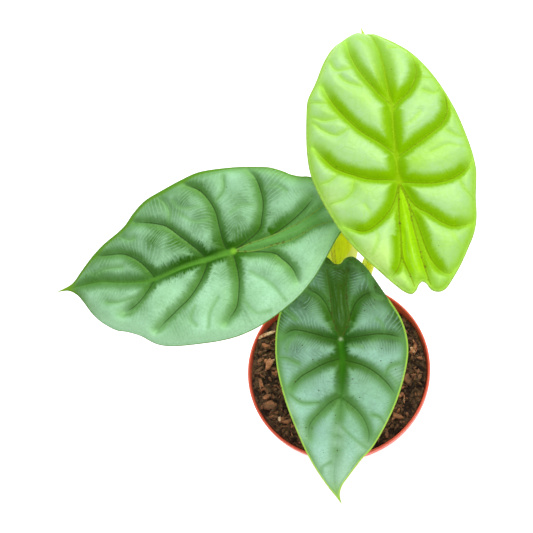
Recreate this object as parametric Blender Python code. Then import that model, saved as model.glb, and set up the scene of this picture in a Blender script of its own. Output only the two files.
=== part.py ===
"""A potted alocasia: three quilted leaves on fleshy petioles, bark potting mix and a moulded nursery pot.

Units are millimetres in the tables below and metres in the scene. The origin is the middle of the pot's flat
underside, +Z is up, and the front of the plant, where the lowest leaf hangs over the rim, is toward -Y.
"""
import math
import random

import bpy
import numpy as np
from mathutils.geometry import delaunay_2d_cdt

MM = 0.001

# Pot
POT_HEIGHT = 92.0
POT_SIDES = 64
POT_WALL = 1.2
FLOOR_THICKNESS = 1.6
FOOT_RADIUS = 38.2
BODY_FOOT_RADIUS = 39.2
BODY_TOP_RADIUS = 58.2
LIP_RADIUS = 60.0
LIP_HEIGHT = 7.0
DRAIN_HOLES = 8
DRAIN_HOLE_RADIUS = 3.5
DRAIN_CIRCLE_RADIUS = 27.0

# Potting mix
SOIL_LEVEL = 88.2
HOLLOW_START = 28.0
HOLLOW_FALL = 0.35
FIT_GAP = 0.3
STEM_GAP = 0.4
SOIL_GRAIN = 5.0
SOIL_ROUGHNESS = 0.5
CHIP_COUNT = 52
CHIP_LENGTH = (8.0, 15.0)
CHIP_WIDTH = (4.0, 6.5)
CHIP_HEIGHT = (0.8, 2.0)
SOIL_SEED = 11

# Petioles
HOLE_DEPTH = 9.0
STEM_FOOT_RADIUS = 4.4
STEM_SIDES = 12
RING_SPACING = 8.0
# Each petiole: the points its middle passes, from its foot in the soil to just under its blade; then its
# half width, half thickness and channel depth at fractions of its length.
PETIOLES = {
    "petiole_back": {
        "blade": "blade_back",
        "path": [(0.5, 12, 79.8), (0.5, 12, 91), (8, 19.5, 111), (27.5, 38.5, 172), (45, 53.5, 222)],
        "section": [(0.0, 4.4, 4.4, 0), (0.07, 4.4, 4.4, 0), (0.2, 5.0, 3.2, 1.2), (0.56, 4.0, 2.8, 1.0),
                    (0.72, 2.9, 2.6, 0.2), (0.8, 2.6, 2.5, 0), (1.0, 2.3, 2.3, 0)],
        "wide": (0.9, -0.35, 0.0),
    },
    "petiole_left": {
        "blade": "blade_left",
        "path": [(-10, 13, 79.8), (-10, 13, 92), (-5, 25, 114), (4.5, 40, 142), (11, 50.5, 165),
                 (12.5, 58, 181), (3, 60.5, 188.5), (-19, 54, 188)],
        "section": [(0.0, 4.4, 4.4, 0), (0.08, 4.4, 4.4, 0), (0.17, 6.0, 2.8, 1.5), (0.28, 9.0, 2.0, 3.2),
                    (0.45, 9.6, 1.9, 3.0), (0.55, 10.6, 1.8, 3.0), (0.62, 6.6, 2.2, 1.6),
                    (0.68, 3.2, 2.6, 0.2), (0.75, 2.8, 2.6, 0), (1.0, 2.4, 2.4, 0)],
        "wide": (1.0, 0.1, 0.0),
    },
    "petiole_front": {
        "blade": "blade_front",
        "path": [(10, 0, 79.8), (10, 0, 91), (12, 3, 111), (11.5, 2, 136)],
        "section": [(0.0, 4.4, 4.4, 0), (0.11, 4.4, 4.4, 0), (0.3, 5.6, 3.0, 1.6), (0.55, 4.4, 2.8, 0.8),
                    (0.75, 2.7, 2.6, 0), (1.0, 2.3, 2.3, 0)],
        "wide": (1.0, 0.0, 0.0),
    },
}

# Blades
BLADE_THICKNESS = 1.0
RIB_DEPTH = 0.9
BLADE_GRAIN = 4.6
# Flat plan of each blade in (across, along), with the petiole at (0, 0) and the tip along +: its two edges
# from the notch to the tip, its midrib and its side veins. "pitch" and "roll" are how far the blade slopes
# down, in degrees, at distances along and across it. "bulge" is how high it stands between veins.
BLADES = {
    "blade_back": {
        "at": (51.5, 59.2, 242.0),
        "heading": 99.0,
        "pitch": [(-75, 8), (0, 3), (70, 5), (103, 18), (119, 80), (122, 78), (130, -15), (142, -15)],
        "roll": [(-45, -10), (0, 0), (45, 10)],
        "bulge": 4.0,
        "left": [(0, -63), (-2, -64.5), (-4, -67.5), (-7, -69), (-11, -66), (-17, -57.5), (-23, -48),
                 (-30, -36.5), (-37, -22), (-42.5, -6), (-46, 7.5), (-48, 20), (-47.7, 33), (-46.2, 45),
                 (-44.3, 56), (-42.2, 66), (-40, 71), (-36, 77), (-33, 82.5), (-28.5, 91.5), (-22.5, 101),
                 (-15.5, 109), (-9, 115), (-4.6, 120), (-2, 125), (-0.9, 133.5)],
        "right": [(0, -63), (1.8, -64.5), (3.8, -69), (7.5, -71), (11.5, -69.8), (16, -65), (22, -57.4),
                  (28, -48.3), (33.3, -39.4), (36.7, -30), (39, -18), (41.3, -9), (43.2, 0), (43.5, 10.5),
                  (42.8, 21), (41, 36), (38, 50), (34, 63), (29, 75), (23, 86), (16, 95), (10, 102),
                  (5.5, 109), (3, 115), (1.8, 120), (0.9, 125), (-0.9, 133.5)],
        "midrib": [(0, 0), (3, 30), (5.5, 50), (5.5, 62), (6, 79), (5.5, 92), (3.5, 104), (0, 114),
                   (-0.3, 122)],
        "veins": [
            [(0, 0), (-3.5, -17), (-5.5, -33), (-7, -47), (-5.2, -59)],
            [(0, 0), (2.1, -14), (2.2, -27), (2.7, -44.5), (3.6, -62)],
            [(0, 1), (-14.8, 5.3), (-23.6, 10.5), (-33, 18), (-38, 26), (-43, 35)],
            [(2, 17), (-6, 27.5), (-14.6, 37.4), (-22, 50), (-26.6, 60), (-31, 74)],
            [(5.5, 50), (-0.8, 61.6), (-5.4, 71.6), (-9, 82), (-11.3, 93.4), (-12, 102)],
            [(0, 0), (-4.5, -10.4), (-9, -17), (-15.5, -22.2), (-24.5, -25.3), (-35, -19)],
            [(-5.5, -33), (-8.1, -46.6), (-11.6, -53.4), (-16, -57)],
            [(0, 0), (11.5, -3.9), (21.2, -5.3), (30.5, -3.8), (37.6, 0.8), (42, 6)],
            [(2, 15.5), (12.6, 20.8), (22.2, 26.2), (30, 31.4), (35, 38.2), (36.5, 47.7), (35.6, 57)],
            [(5.5, 47.5), (10.8, 52.2), (17, 57.2), (22, 64.7), (24.1, 72.3), (23.7, 82.4)],
            [(0, 0), (5.2, -16), (11.9, -23.3), (18.1, -30.3), (23.9, -33.9), (33.8, -33.8)],
            [(2.1, -14), (4.4, -26), (6.3, -45.4), (9.1, -55.3), (14, -61.5), (18.5, -59.5)],
        ],
    },
    "blade_left": {
        "at": (-50.9, 43.8, 195.0),
        "heading": 188.0,
        "pitch": [(-70, 18), (0, 9), (60, 13), (118, 20)],
        "roll": [(-50, -8), (0, -4), (5, -14), (50, -18)],
        "bulge": 3.4,
        "left": [(4, -68), (2, -73.5), (-2, -75), (-6, -70), (-11, -64), (-20, -55.5), (-29.5, -46),
                 (-37.5, -35), (-44, -21.5), (-49, -7.5), (-51.5, 6), (-51.5, 18), (-50, 32), (-47.5, 47),
                 (-43.5, 57.5), (-36, 67), (-31, 76), (-28, 83), (-20.5, 92), (-13, 98), (-5, 102.5),
                 (2, 107), (6.5, 113), (8.3, 121.5)],
        "right": [(4, -68), (6, -72.5), (11, -73), (18, -69.5), (25, -64), (30, -57), (32, -51.5), (35, -46),
                  (38.5, -41.5), (43, -34), (46, -25), (49, -14), (51.5, 0), (52.5, 11), (51, 22), (48.5, 34),
                  (46, 45), (43.5, 51), (39.4, 57.5), (34.2, 64), (31, 70.5), (27, 81), (22, 90.5), (15, 101),
                  (10.8, 107), (9.2, 112), (8.3, 121.5)],
        "midrib": [(0, 0), (-0.7, 15), (-1.4, 32), (-3.8, 54), (-1.5, 67), (1.8, 78.5), (5.3, 90), (7.5, 110),
                   (8.2, 118)],
        "veins": [
            [(0, 0), (-3, -12), (-3.2, -23.4), (-2.9, -39.5), (0.3, -52.4), (0, -66)],
            [(0, 0), (2, -12), (2.7, -24.6), (5.6, -44.6), (9.7, -57.2), (12, -64)],
            [(0, 0), (7.3, -17.2), (15.2, -22.3), (23.7, -25.1), (32.4, -25.4), (39.7, -24), (44.2, -21.2)],
            [(0, 0), (4.2, 4), (14.5, 5), (25.2, 5.2), (34, 7.7), (41.6, 12.3), (47.7, 20.6)],
            [(-0.7, 16), (9.4, 23.4), (17.6, 30.4), (25.5, 37.2), (30.1, 45.5), (34.2, 57.5)],
            [(-3.8, 51), (5.1, 56.2), (11.7, 61.6), (17.2, 69.3), (19.7, 80), (21.3, 87.5)],
            [(2.7, -24.6), (7.8, -39.3), (12.3, -48.9), (17, -56)],
            [(0, 0), (-6.9, -22.7), (-13.3, -29.8), (-21, -34.7), (-29.6, -36.7)],
            [(0, 0), (-13.6, -1.2), (-23.4, -0.1), (-34.4, 3.4), (-42, 11)],
            [(-0.7, 15), (-12.5, 22.4), (-21, 31), (-26.3, 39.8), (-31.9, 49.5), (-36, 56)],
            [(-3.8, 52), (-11.2, 59), (-16.5, 66.7), (-19, 75)],
        ],
    },
    "blade_front": {
        "at": (9.2, -4.2, 162.0),
        "heading": 267.0,
        "pitch": [(-50, 36), (0, 26), (100, 34)],
        "roll": [(-40, -8), (0, 0), (40, 8)],
        "bulge": 3.0,
        "left": [(0.5, -45.8), (-1.6, -46.4), (-4, -49.2), (-9, -50.2), (-16, -44), (-26, -29), (-36, -13),
                 (-40, 2), (-39, 16), (-34, 34), (-27, 50), (-18, 65.5), (-10.5, 74), (-3, 84), (1.5, 90.5),
                 (3.2, 96.5), (2.3, 102.5)],
        "right": [(0.5, -45.8), (2.6, -46.3), (5.5, -49.2), (9, -51), (16, -47), (28, -32), (36, -19),
                  (39.5, -6), (40.5, 8), (39, 22), (34.5, 40), (28, 58), (22.5, 71), (16.5, 82), (10, 92),
                  (6.2, 97), (2.3, 102.5)],
        "midrib": [(0, 0), (-0.8, 12), (0.2, 34), (3, 57), (4.4, 70), (6.3, 85), (4.8, 95.5)],
        "veins": [
            [(0, 0), (4.3, -12.2), (5.2, -22.8), (6.1, -33.5), (7, -43)],
            [(0, 0), (-5.3, -12.1), (-4.3, -22.7), (-4.1, -33.4), (-5, -43)],
            [(0, 0), (8.8, -1.8), (17.3, -4.2), (28.4, -6), (36, -2.2)],
            [(-0.8, 11), (9.2, 13.9), (17.8, 18.3), (25.4, 23), (31.2, 29.6)],
            [(0.2, 34), (7.3, 38.1), (14.2, 44.7), (20, 51.7), (21.5, 60)],
            [(4.3, -12.2), (8.3, -21.9), (13.2, -28), (19, -30.5)],
            [(0, 0), (-12.8, -2.4), (-22.4, -3.5), (-30, -2.8), (-37, -0.8)],
            [(-0.8, 12), (-12.5, 15.1), (-20.7, 20), (-27.2, 26.2), (-32.4, 33.6)],
            [(0.2, 35), (-7.7, 41.4), (-12.9, 48.2), (-15.7, 56.9), (-14.6, 64.3)],
            [(-5.3, -12.1), (-9.1, -21.8), (-14.6, -27.1), (-20, -28.8)],
        ],
    },
}

# Colours (display values) and roughness
FINISHES = {
    "pot": ((0.92, 0.40, 0.32), 0.42),
    "potting_mix": ((0.32, 0.22, 0.16), 0.95),
    "petiole": ((0.70, 0.76, 0.12), 0.45),
    "blade_back": ((0.64, 0.86, 0.36), 0.42),
    "blade_left": ((0.55, 0.80, 0.60), 0.45),
    "blade_front": ((0.45, 0.68, 0.50), 0.45),
}


def clear_scene():
    for old in list(bpy.data.objects):
        bpy.data.objects.remove(old, do_unlink=True)


def finish(name):
    colour, roughness = FINISHES[name]
    material = bpy.data.materials.new(name + "_finish")
    material.use_nodes = True
    shader = material.node_tree.nodes["Principled BSDF"]
    linear = [((c + 0.055) / 1.055) ** 2.4 for c in colour]
    shader.inputs["Base Color"].default_value = (*linear, 1.0)
    shader.inputs["Roughness"].default_value = roughness
    shader.inputs["Metallic"].default_value = 0.0
    return material


def add_solid(name, points, faces, material, smooth=True):
    """Makes one closed body from points in millimetres, and faces that wind outward."""
    mesh = bpy.data.meshes.new(name)
    mesh.from_pydata([tuple(c * MM for c in p) for p in points], [], faces)
    mesh.update()
    if smooth:
        mesh.shade_smooth()
    solid = bpy.data.objects.new(name, mesh)
    bpy.context.scene.collection.objects.link(solid)
    solid.data.materials.append(material)
    return solid


def curve_through(points, spacing):
    """Samples a smooth curve through the points, evenly by its length."""
    p = np.array(points, float)
    if len(p) == 2:
        fine = p
    else:
        p = np.vstack([2 * p[0] - p[1], p, 2 * p[-1] - p[-2]])
        t = np.linspace(0, 1, 16, endpoint=False)[:, None]
        runs = []
        for a, b, c, d in zip(p, p[1:], p[2:], p[3:]):
            runs.append(0.5 * (2 * b + (c - a) * t + (2 * a - 5 * b + 4 * c - d) * t ** 2
                               + (3 * b - a - 3 * c + d) * t ** 3))
        fine = np.vstack(runs + [p[-2:-1]])
    run = np.concatenate([[0], np.cumsum(np.linalg.norm(np.diff(fine, axis=0), axis=1))])
    count = max(2, round(run[-1] / spacing) + 1)
    at = np.linspace(0, run[-1], count)
    return np.stack([np.interp(at, run, fine[:, k]) for k in range(fine.shape[1])], axis=1)


def distance_to_lines(points, lines):
    """Distance from each point to the nearest of the polylines, all in the plane."""
    best = np.full(len(points), 1e9)
    for line in lines:
        for a, b in zip(line, line[1:]):
            d = b - a
            t = np.clip(((points - a) @ d) / max(d @ d, 1e-9), 0, 1)
            best = np.minimum(best, np.linalg.norm(points - a - t[:, None] * d, axis=1))
    return best


def inside(points, loop):
    """Which of the points lie inside the closed loop."""
    hit = np.zeros(len(points), bool)
    for a, b in zip(loop, np.roll(loop, -1, axis=0)):
        spans = (a[1] > points[:, 1]) != (b[1] > points[:, 1])
        rise = b[1] - a[1] if b[1] != a[1] else 1e-9
        hit ^= spans & (points[:, 0] < (b[0] - a[0]) * (points[:, 1] - a[1]) / rise + a[0])
    return hit


def hex_grid(low, high, spacing):
    rows = []
    y = low[1]
    shift = 0.0
    while y < high[1]:
        x = np.arange(low[0] + shift, high[0], spacing)
        rows.append(np.stack([x, np.full(len(x), y)], axis=1))
        y += spacing * 0.866
        shift = spacing / 2 - shift
    return np.vstack(rows)


def triangulate(loops, lines, extra):
    """Triangles over the area inside the first loop, with the lines and the other loops as edges."""
    points = []
    edges = []
    for loop in loops:
        first = len(points)
        points.extend(loop)
        edges.extend((first + i, first + (i + 1) % len(loop)) for i in range(len(loop)))
    for line in lines:
        first = len(points)
        points.extend(line)
        edges.extend((first + i, first + i + 1) for i in range(len(line) - 1))
    points.extend(extra)
    outer = [list(range(len(loops[0])))]
    verts, _, faces, *_ = delaunay_2d_cdt([tuple(map(float, p)) for p in points], edges, outer, 1, 0.02)
    used = sorted({i for face in faces for i in face})
    place = {old: new for new, old in enumerate(used)}
    return np.array([tuple(verts[i]) for i in used]), [tuple(place[i] for i in face) for face in faces]


def boundary_edges(faces):
    """Edges with one face, in that face's direction."""
    seen = {}
    for face in faces:
        for a, b in zip(face, face[1:] + face[:1]):
            seen[(a, b)] = True
    return [edge for edge in seen if (edge[1], edge[0]) not in seen]


# Pot: one thin moulding that tapers from a lip band to its foot, with drain holes in its floor.
def pot_inner_radius(z):
    """Inner radius of the tapered wall, which runs straight from the floor to the lip."""
    slope = (BODY_TOP_RADIUS - BODY_FOOT_RADIUS) / (POT_HEIGHT - LIP_HEIGHT)
    return BODY_FOOT_RADIUS - POT_WALL + slope * z


def build_pot():
    lip_bottom = POT_HEIGHT - LIP_HEIGHT
    mouth = pot_inner_radius(POT_HEIGHT)
    wall = [
        (FOOT_RADIUS, 0.0),
        (BODY_FOOT_RADIUS, 1.4),
        (pot_inner_radius(44) + POT_WALL, 44.0),
        (BODY_TOP_RADIUS, lip_bottom),
        (LIP_RADIUS - 0.6, lip_bottom + 0.2),
        (LIP_RADIUS - 0.1, lip_bottom + 0.9),
        (LIP_RADIUS, POT_HEIGHT - 0.6),
        (LIP_RADIUS - 0.3, POT_HEIGHT - 0.1),
        (mouth + 0.5, POT_HEIGHT),
        (mouth, POT_HEIGHT - 0.5),
        (pot_inner_radius(44), 44.0),
        (pot_inner_radius(FLOOR_THICKNESS), FLOOR_THICKNESS),
    ]
    turn = [(math.cos(2 * math.pi * k / POT_SIDES), math.sin(2 * math.pi * k / POT_SIDES))
            for k in range(POT_SIDES)]
    points = [(r * c, r * s, z) for r, z in wall for c, s in turn]
    faces = []
    for ring in range(len(wall) - 1):
        for k in range(POT_SIDES):
            a = ring * POT_SIDES + k
            b = ring * POT_SIDES + (k + 1) % POT_SIDES
            faces.append((a, b, b + POT_SIDES, a + POT_SIDES))
    holes = []
    for h in range(DRAIN_HOLES):
        middle = 2 * math.pi * (h + 0.5) / DRAIN_HOLES
        x = DRAIN_CIRCLE_RADIUS * math.cos(middle)
        y = DRAIN_CIRCLE_RADIUS * math.sin(middle)
        holes.append([(x + DRAIN_HOLE_RADIUS * math.cos(a), y + DRAIN_HOLE_RADIUS * math.sin(a))
                      for a in np.arange(10) * 2 * math.pi / 10])
    floors = {}
    for radius, z, up in ((wall[0][0], 0.0, False), (wall[-1][0], FLOOR_THICKNESS, True)):
        rim = [(radius * c, radius * s) for c, s in turn]
        flat, tris = triangulate([rim] + holes, [], [(0.0, 0.0)])
        centres = np.array([flat[list(t)].mean(axis=0) for t in tris])
        open_area = np.zeros(len(tris), bool)
        for hole in holes:
            open_area |= inside(centres, np.array(hole))
        tris = [t for t, gone in zip(tris, open_area) if not gone]
        index = {}
        for i, (x, y) in enumerate(flat):
            on_rim = abs(math.hypot(x, y) - radius) < 1e-3
            if on_rim:
                k = round(math.atan2(y, x) / (2 * math.pi) * POT_SIDES) % POT_SIDES
                index[i] = k + (0 if not up else (len(wall) - 1) * POT_SIDES)
            else:
                index[i] = len(points)
                points.append((x, y, z))
        used = [tuple(index[i] for i in t) for t in tris]
        faces.extend(used if up else [t[::-1] for t in used])
        floors[up] = (flat, index, tris)
    flat, index, tris = floors[True]
    low_flat, low_index, _ = floors[False]
    for a, b in boundary_edges(tris):
        if math.hypot(*flat[a]) > DRAIN_CIRCLE_RADIUS + DRAIN_HOLE_RADIUS + 2:
            continue
        la = low_index[int(np.argmin(np.linalg.norm(low_flat - flat[a], axis=1)))]
        lb = low_index[int(np.argmin(np.linalg.norm(low_flat - flat[b], axis=1)))]
        faces.append((index[b], index[a], la, lb))
    return add_solid("pot", points, faces, finish("pot"), smooth=False)


# Potting mix: fills the pot to just under its rim, sinks at the back, and has bark chips standing out of it.
def soil_height(points, noise):
    x = points[:, 0]
    y = points[:, 1]
    rolling = 0.8 * np.sin(x / 13 + 1.0) * np.cos(y / 11) + 0.5 * np.sin((x + y) / 7.0)
    return SOIL_LEVEL - HOLLOW_FALL * np.maximum(y - HOLLOW_START, 0.0) + rolling + noise


def soil_rim():
    """The edge of the mix, which follows the pot's taper as the mix rises and falls."""
    rim = []
    for k in range(POT_SIDES):
        turn = 2 * math.pi * k / POT_SIDES
        way = np.array([[math.cos(turn), math.sin(turn)]])
        level = float(soil_height(way * LIP_RADIUS, 0.0)[0])
        radius = pot_inner_radius(level - SOIL_ROUGHNESS) - FIT_GAP
        rim.append((radius * way[0, 0], radius * way[0, 1]))
    return rim


def chip_outline(rng):
    length = rng.uniform(*CHIP_LENGTH) / 2
    width = rng.uniform(*CHIP_WIDTH) / 2
    turn = rng.uniform(0, math.pi)
    corners = []
    for k in range(6):
        a = 2 * math.pi * (k + rng.uniform(-0.22, 0.22)) / 6
        x = length * math.cos(a) * rng.uniform(0.85, 1.1)
        y = width * math.sin(a) * rng.uniform(0.85, 1.1)
        corners.append((x * math.cos(turn) - y * math.sin(turn), x * math.sin(turn) + y * math.cos(turn)))
    return np.array(corners)


def place_chips(rng, edge_radius, feet):
    chips = []
    for _ in range(4000):
        if len(chips) == CHIP_COUNT:
            break
        shape = chip_outline(rng)
        reach = np.linalg.norm(shape, axis=1).max()
        r = (edge_radius - reach - 1.5) * math.sqrt(rng.random())
        a = rng.uniform(0, 2 * math.pi)
        middle = np.array([r * math.cos(a), r * math.sin(a)])
        outline = middle + shape
        if any(np.linalg.norm(middle - f) < reach + STEM_FOOT_RADIUS + 1.5 for f in feet):
            continue
        ring = np.vstack([outline, outline[:1]])
        clear = True
        for other in chips:
            if np.linalg.norm(other["middle"] - middle) > reach + other["reach"] + 1:
                continue
            gap = distance_to_lines(outline, [other["ring"]]).min()
            back = distance_to_lines(other["ring"], [ring]).min()
            if min(gap, back) < 0.9 or inside(outline, other["ring"][:-1]).any() or inside(
                    other["ring"][:-1], outline).any():
                clear = False
                break
        if clear:
            chips.append({"middle": middle, "reach": reach, "ring": ring, "outline": outline,
                          "height": rng.uniform(*CHIP_HEIGHT),
                          "tilt": np.array([rng.uniform(-0.16, 0.16), rng.uniform(-0.16, 0.16)])})
    return chips


def build_soil():
    rng = random.Random(SOIL_SEED)
    feet = [np.array(p["path"][0][:2], float) for p in PETIOLES.values()]
    rim = soil_rim()
    rim_ring = np.array(rim + rim[:1])
    edge_radius = np.linalg.norm(rim_ring, axis=1).min()
    holes = []
    for foot in feet:
        r = STEM_FOOT_RADIUS + STEM_GAP
        holes.append([(foot[0] + r * math.cos(a), foot[1] + r * math.sin(a))
                      for a in np.arange(STEM_SIDES) * 2 * math.pi / STEM_SIDES])
    chips = place_chips(rng, edge_radius, feet)
    inner = [c["middle"] + (c["outline"] - c["middle"]) * 0.8 for c in chips]
    grid = hex_grid((-60, -60), (60, 60), SOIL_GRAIN)
    grid += np.array([[rng.uniform(-0.9, 0.9), rng.uniform(-0.9, 0.9)] for _ in grid])
    rings = [np.array(h + h[:1]) for h in holes] + [c["ring"] for c in chips]
    rings += [np.vstack([i, i[:1]]) for i in inner]
    far = inside(grid, np.array(rim)) & (distance_to_lines(grid, [rim_ring]) > 2.5)
    far &= distance_to_lines(grid, rings) > 1.6
    for hole in holes:
        far &= ~inside(grid, np.array(hole))
    flat, tris = triangulate([rim] + holes + [c["outline"] for c in chips] + inner, [], list(grid[far]))
    centres = np.array([flat[list(t)].mean(axis=0) for t in tris])
    in_hole = np.zeros(len(tris), bool)
    for hole in holes:
        in_hole |= inside(centres, np.array(hole))
    tris = [t for t, gone in zip(tris, in_hole) if not gone]
    noise = np.array([rng.uniform(-SOIL_ROUGHNESS, SOIL_ROUGHNESS) for _ in flat])
    edge = distance_to_lines(flat, [rim_ring]) < 0.05
    noise[edge] *= 0.3
    z = soil_height(flat, noise)
    for chip, top in zip(chips, inner):
        on_chip = inside(flat, top) | (distance_to_lines(flat, [np.vstack([top, top[:1]])]) < 0.05)
        level = float(soil_height(chip["middle"][None], np.zeros(1))[0])
        plate = level + chip["height"] + (flat - chip["middle"]) @ chip["tilt"]
        z = np.where(on_chip, plate, z)
    for hole in holes:
        ring = np.array(hole + hole[:1])
        near = distance_to_lines(flat, [ring]) < 0.05
        z = np.where(near, soil_height(flat, 0.0), z)
    points = [(x, y, h) for (x, y), h in zip(flat, z)]
    faces = list(tris)
    loops = {}
    for a, b in boundary_edges(tris):
        loops[a] = b
    while loops:
        start = next(iter(loops))
        loop = [start]
        while loops[loop[-1]] != start:
            loop.append(loops.pop(loop[-1]))
        loops.pop(loop[-1])
        if edge[start]:
            levels = [(44.0, None), (FLOOR_THICKNESS + FIT_GAP, None)]
        else:
            levels = [(SOIL_LEVEL - HOLE_DEPTH, 1.0)]
        upper = loop
        for level, keep in levels:
            lower = []
            for i in loop:
                x, y = flat[i]
                scale = keep or (pot_inner_radius(level) - FIT_GAP) / math.hypot(x, y)
                lower.append(len(points))
                points.append((x * scale, y * scale, level))
            for k in range(len(loop)):
                n = (k + 1) % len(loop)
                faces.append((upper[n], upper[k], lower[k], lower[n]))
            upper = lower
        centre = len(points)
        foot = np.mean([points[i] for i in upper], axis=0)
        points.append(tuple(foot))
        for k in range(len(upper)):
            faces.append((upper[(k + 1) % len(upper)], upper[k], centre))
    return add_solid("potting_mix", points, faces, finish("potting_mix"), smooth=False)


# Blades: peltate, notched, quilted between sunken veins, with ribs standing out underneath.
def slope_profile(knots):
    """A slope in degrees against distance, rounded where the straight runs between the knots meet."""
    at = np.arange(-170, 210.5, 0.5)
    value = np.interp(at, [k[0] for k in knots], [k[1] for k in knots])
    value = np.convolve(np.pad(value, 16, mode="edge"), np.ones(33) / 33, "valid")
    slope = np.radians(value)
    start = int(np.argmin(abs(at)))
    reach = np.concatenate([[0], np.cumsum((np.cos(slope[1:]) + np.cos(slope[:-1])) * 0.25)])
    drop = np.concatenate([[0], np.cumsum((np.sin(slope[1:]) + np.sin(slope[:-1])) * 0.25)])
    return at, slope, reach - reach[start], drop - drop[start]


def bend_blade(spec, flat, height):
    """Carries flat plan points with a height above the plan to their place on the plant."""
    at, slope, reach, drop = slope_profile(spec["pitch"])
    side_at, _, side_reach, side_drop = slope_profile(spec["roll"])
    heading = math.radians(spec["heading"])
    forward = np.array([math.cos(heading), math.sin(heading), 0.0])
    right = np.cross(forward, [0.0, 0.0, 1.0])
    a = np.interp(flat[:, 1], at, slope)
    across = np.interp(flat[:, 0], side_at, side_reach)
    lift = height - np.interp(flat[:, 0], side_at, side_drop)
    along = np.interp(flat[:, 1], at, reach) + np.sin(a) * lift
    up = np.cos(a) * lift - np.interp(flat[:, 1], at, drop)
    return (np.array(spec["at"]) + across[:, None] * right + along[:, None] * forward
            + up[:, None] * np.array([0.0, 0.0, 1.0]))


def blade_joint(spec):
    """Where the petiole meets the blade, and the way the blade faces there."""
    here, along, across = bend_blade(spec, np.array([[0.0, 0.0], [0.0, 1.0], [1.0, 0.0]]), np.zeros(3))
    normal = np.cross(across - here, along - here)
    return here, normal / np.linalg.norm(normal)


def vertex_normals(points, faces):
    normals = np.zeros_like(points)
    tri = np.array(faces)
    n = np.cross(points[tri[:, 1]] - points[tri[:, 0]], points[tri[:, 2]] - points[tri[:, 0]])
    for k in range(3):
        np.add.at(normals, tri[:, k], n)
    return normals / np.linalg.norm(normals, axis=1)[:, None]


def build_blade(name, spec):
    left = curve_through(spec["left"], BLADE_GRAIN)
    right = curve_through(spec["right"], BLADE_GRAIN)
    outline = np.vstack([right, left[-2:0:-1]])
    midrib = curve_through(spec["midrib"], BLADE_GRAIN)
    veins = [midrib]
    for vein in spec["veins"]:
        line = curve_through(vein, BLADE_GRAIN)
        others = np.vstack(veins)
        line[0] = others[int(np.argmin(np.linalg.norm(others - line[0], axis=1)))]
        veins.append(line)
    ring = np.vstack([outline, outline[:1]])
    grid = hex_grid(outline.min(axis=0), outline.max(axis=0), BLADE_GRAIN)
    keep = inside(grid, outline) & (distance_to_lines(grid, [ring]) > 0.55 * BLADE_GRAIN)
    keep &= distance_to_lines(grid, veins) > 0.55 * BLADE_GRAIN
    flat, tris = triangulate([outline], veins, list(grid[keep]))
    to_vein = distance_to_lines(flat, veins)
    to_edge = distance_to_lines(flat, [ring])
    between = np.minimum(to_vein, 1.4 * to_edge + 1.0)
    height = spec["bulge"] * (1.0 - np.exp(-between / 4.0))
    on_vein = np.exp(-(to_vein / 1.5) ** 2)
    tip = np.clip((to_edge - 1.0) / 5.0, 0.0, 1.0)
    top = bend_blade(spec, flat, height)
    thickness = BLADE_THICKNESS + RIB_DEPTH * on_vein * tip
    under = top - vertex_normals(top, tris) * thickness[:, None]
    count = len(flat)
    points = [tuple(p) for p in top] + [tuple(p) for p in under]
    faces = list(tris) + [tuple(count + i for i in t[::-1]) for t in tris]
    for a, b in boundary_edges(tris):
        faces.append((b, a, count + a))
        faces.append((b, count + a, count + b))
    return add_solid(name, points, faces, finish(name))


# Petioles: fleshy stalks, channelled where their sheaths clasp, round under the blade.
def build_petiole(name, spec):
    joint, normal = blade_joint(BLADES[spec["blade"]])
    joint = joint - normal * (BLADE_THICKNESS + RIB_DEPTH + FIT_GAP)
    path = curve_through(spec["path"][1:] + [tuple(joint)], RING_SPACING)
    path = np.vstack([spec["path"][:1], path])
    run = np.concatenate([[0], np.cumsum(np.linalg.norm(np.diff(path, axis=0), axis=1))])
    run /= run[-1]
    table = np.array(spec["section"], float)
    wide, thick, channel = (np.interp(run, table[:, 0], table[:, k]) for k in (1, 2, 3))
    heading = np.gradient(path, axis=0)
    heading /= np.linalg.norm(heading, axis=1)[:, None]
    heading[0] = heading[1] = (0.0, 0.0, 1.0)
    across = np.array(spec["wide"], float)
    points = []
    for k, middle in enumerate(path):
        across = across - heading[k] * (across @ heading[k])
        across /= np.linalg.norm(across)
        out = np.cross(heading[k], across)
        for side in range(STEM_SIDES):
            a = 2 * math.pi * side / STEM_SIDES
            x = wide[k] * math.cos(a)
            y = thick[k] * math.sin(a) + channel[k] * (math.cos(a) ** 2 - 0.5)
            point = middle + across * x + out * y
            if k == len(path) - 1:
                point = point - heading[k] * ((point - joint) @ normal) / (heading[k] @ normal)
            points.append(tuple(point))
    faces = []
    for ring in range(len(path) - 1):
        for side in range(STEM_SIDES):
            a = ring * STEM_SIDES + side
            b = ring * STEM_SIDES + (side + 1) % STEM_SIDES
            faces.append((a, b, b + STEM_SIDES, a + STEM_SIDES))
    faces.append(tuple(range(STEM_SIDES))[::-1])
    last = (len(path) - 1) * STEM_SIDES
    faces.append(tuple(range(last, last + STEM_SIDES)))
    return add_solid(name, points, faces, finish("petiole"))


clear_scene()
build_pot()
build_soil()
for petiole_name, petiole in PETIOLES.items():
    build_petiole(petiole_name, petiole)
for blade_name, blade in BLADES.items():
    build_blade(blade_name, blade)
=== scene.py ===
"""A potted alocasia seen from above: three quilted leaves over a small terracotta-coloured nursery pot."""
import math
import random

import bpy
import numpy as np
from mathutils import Matrix, Vector, noise
from mathutils.geometry import delaunay_2d_cdt


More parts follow.
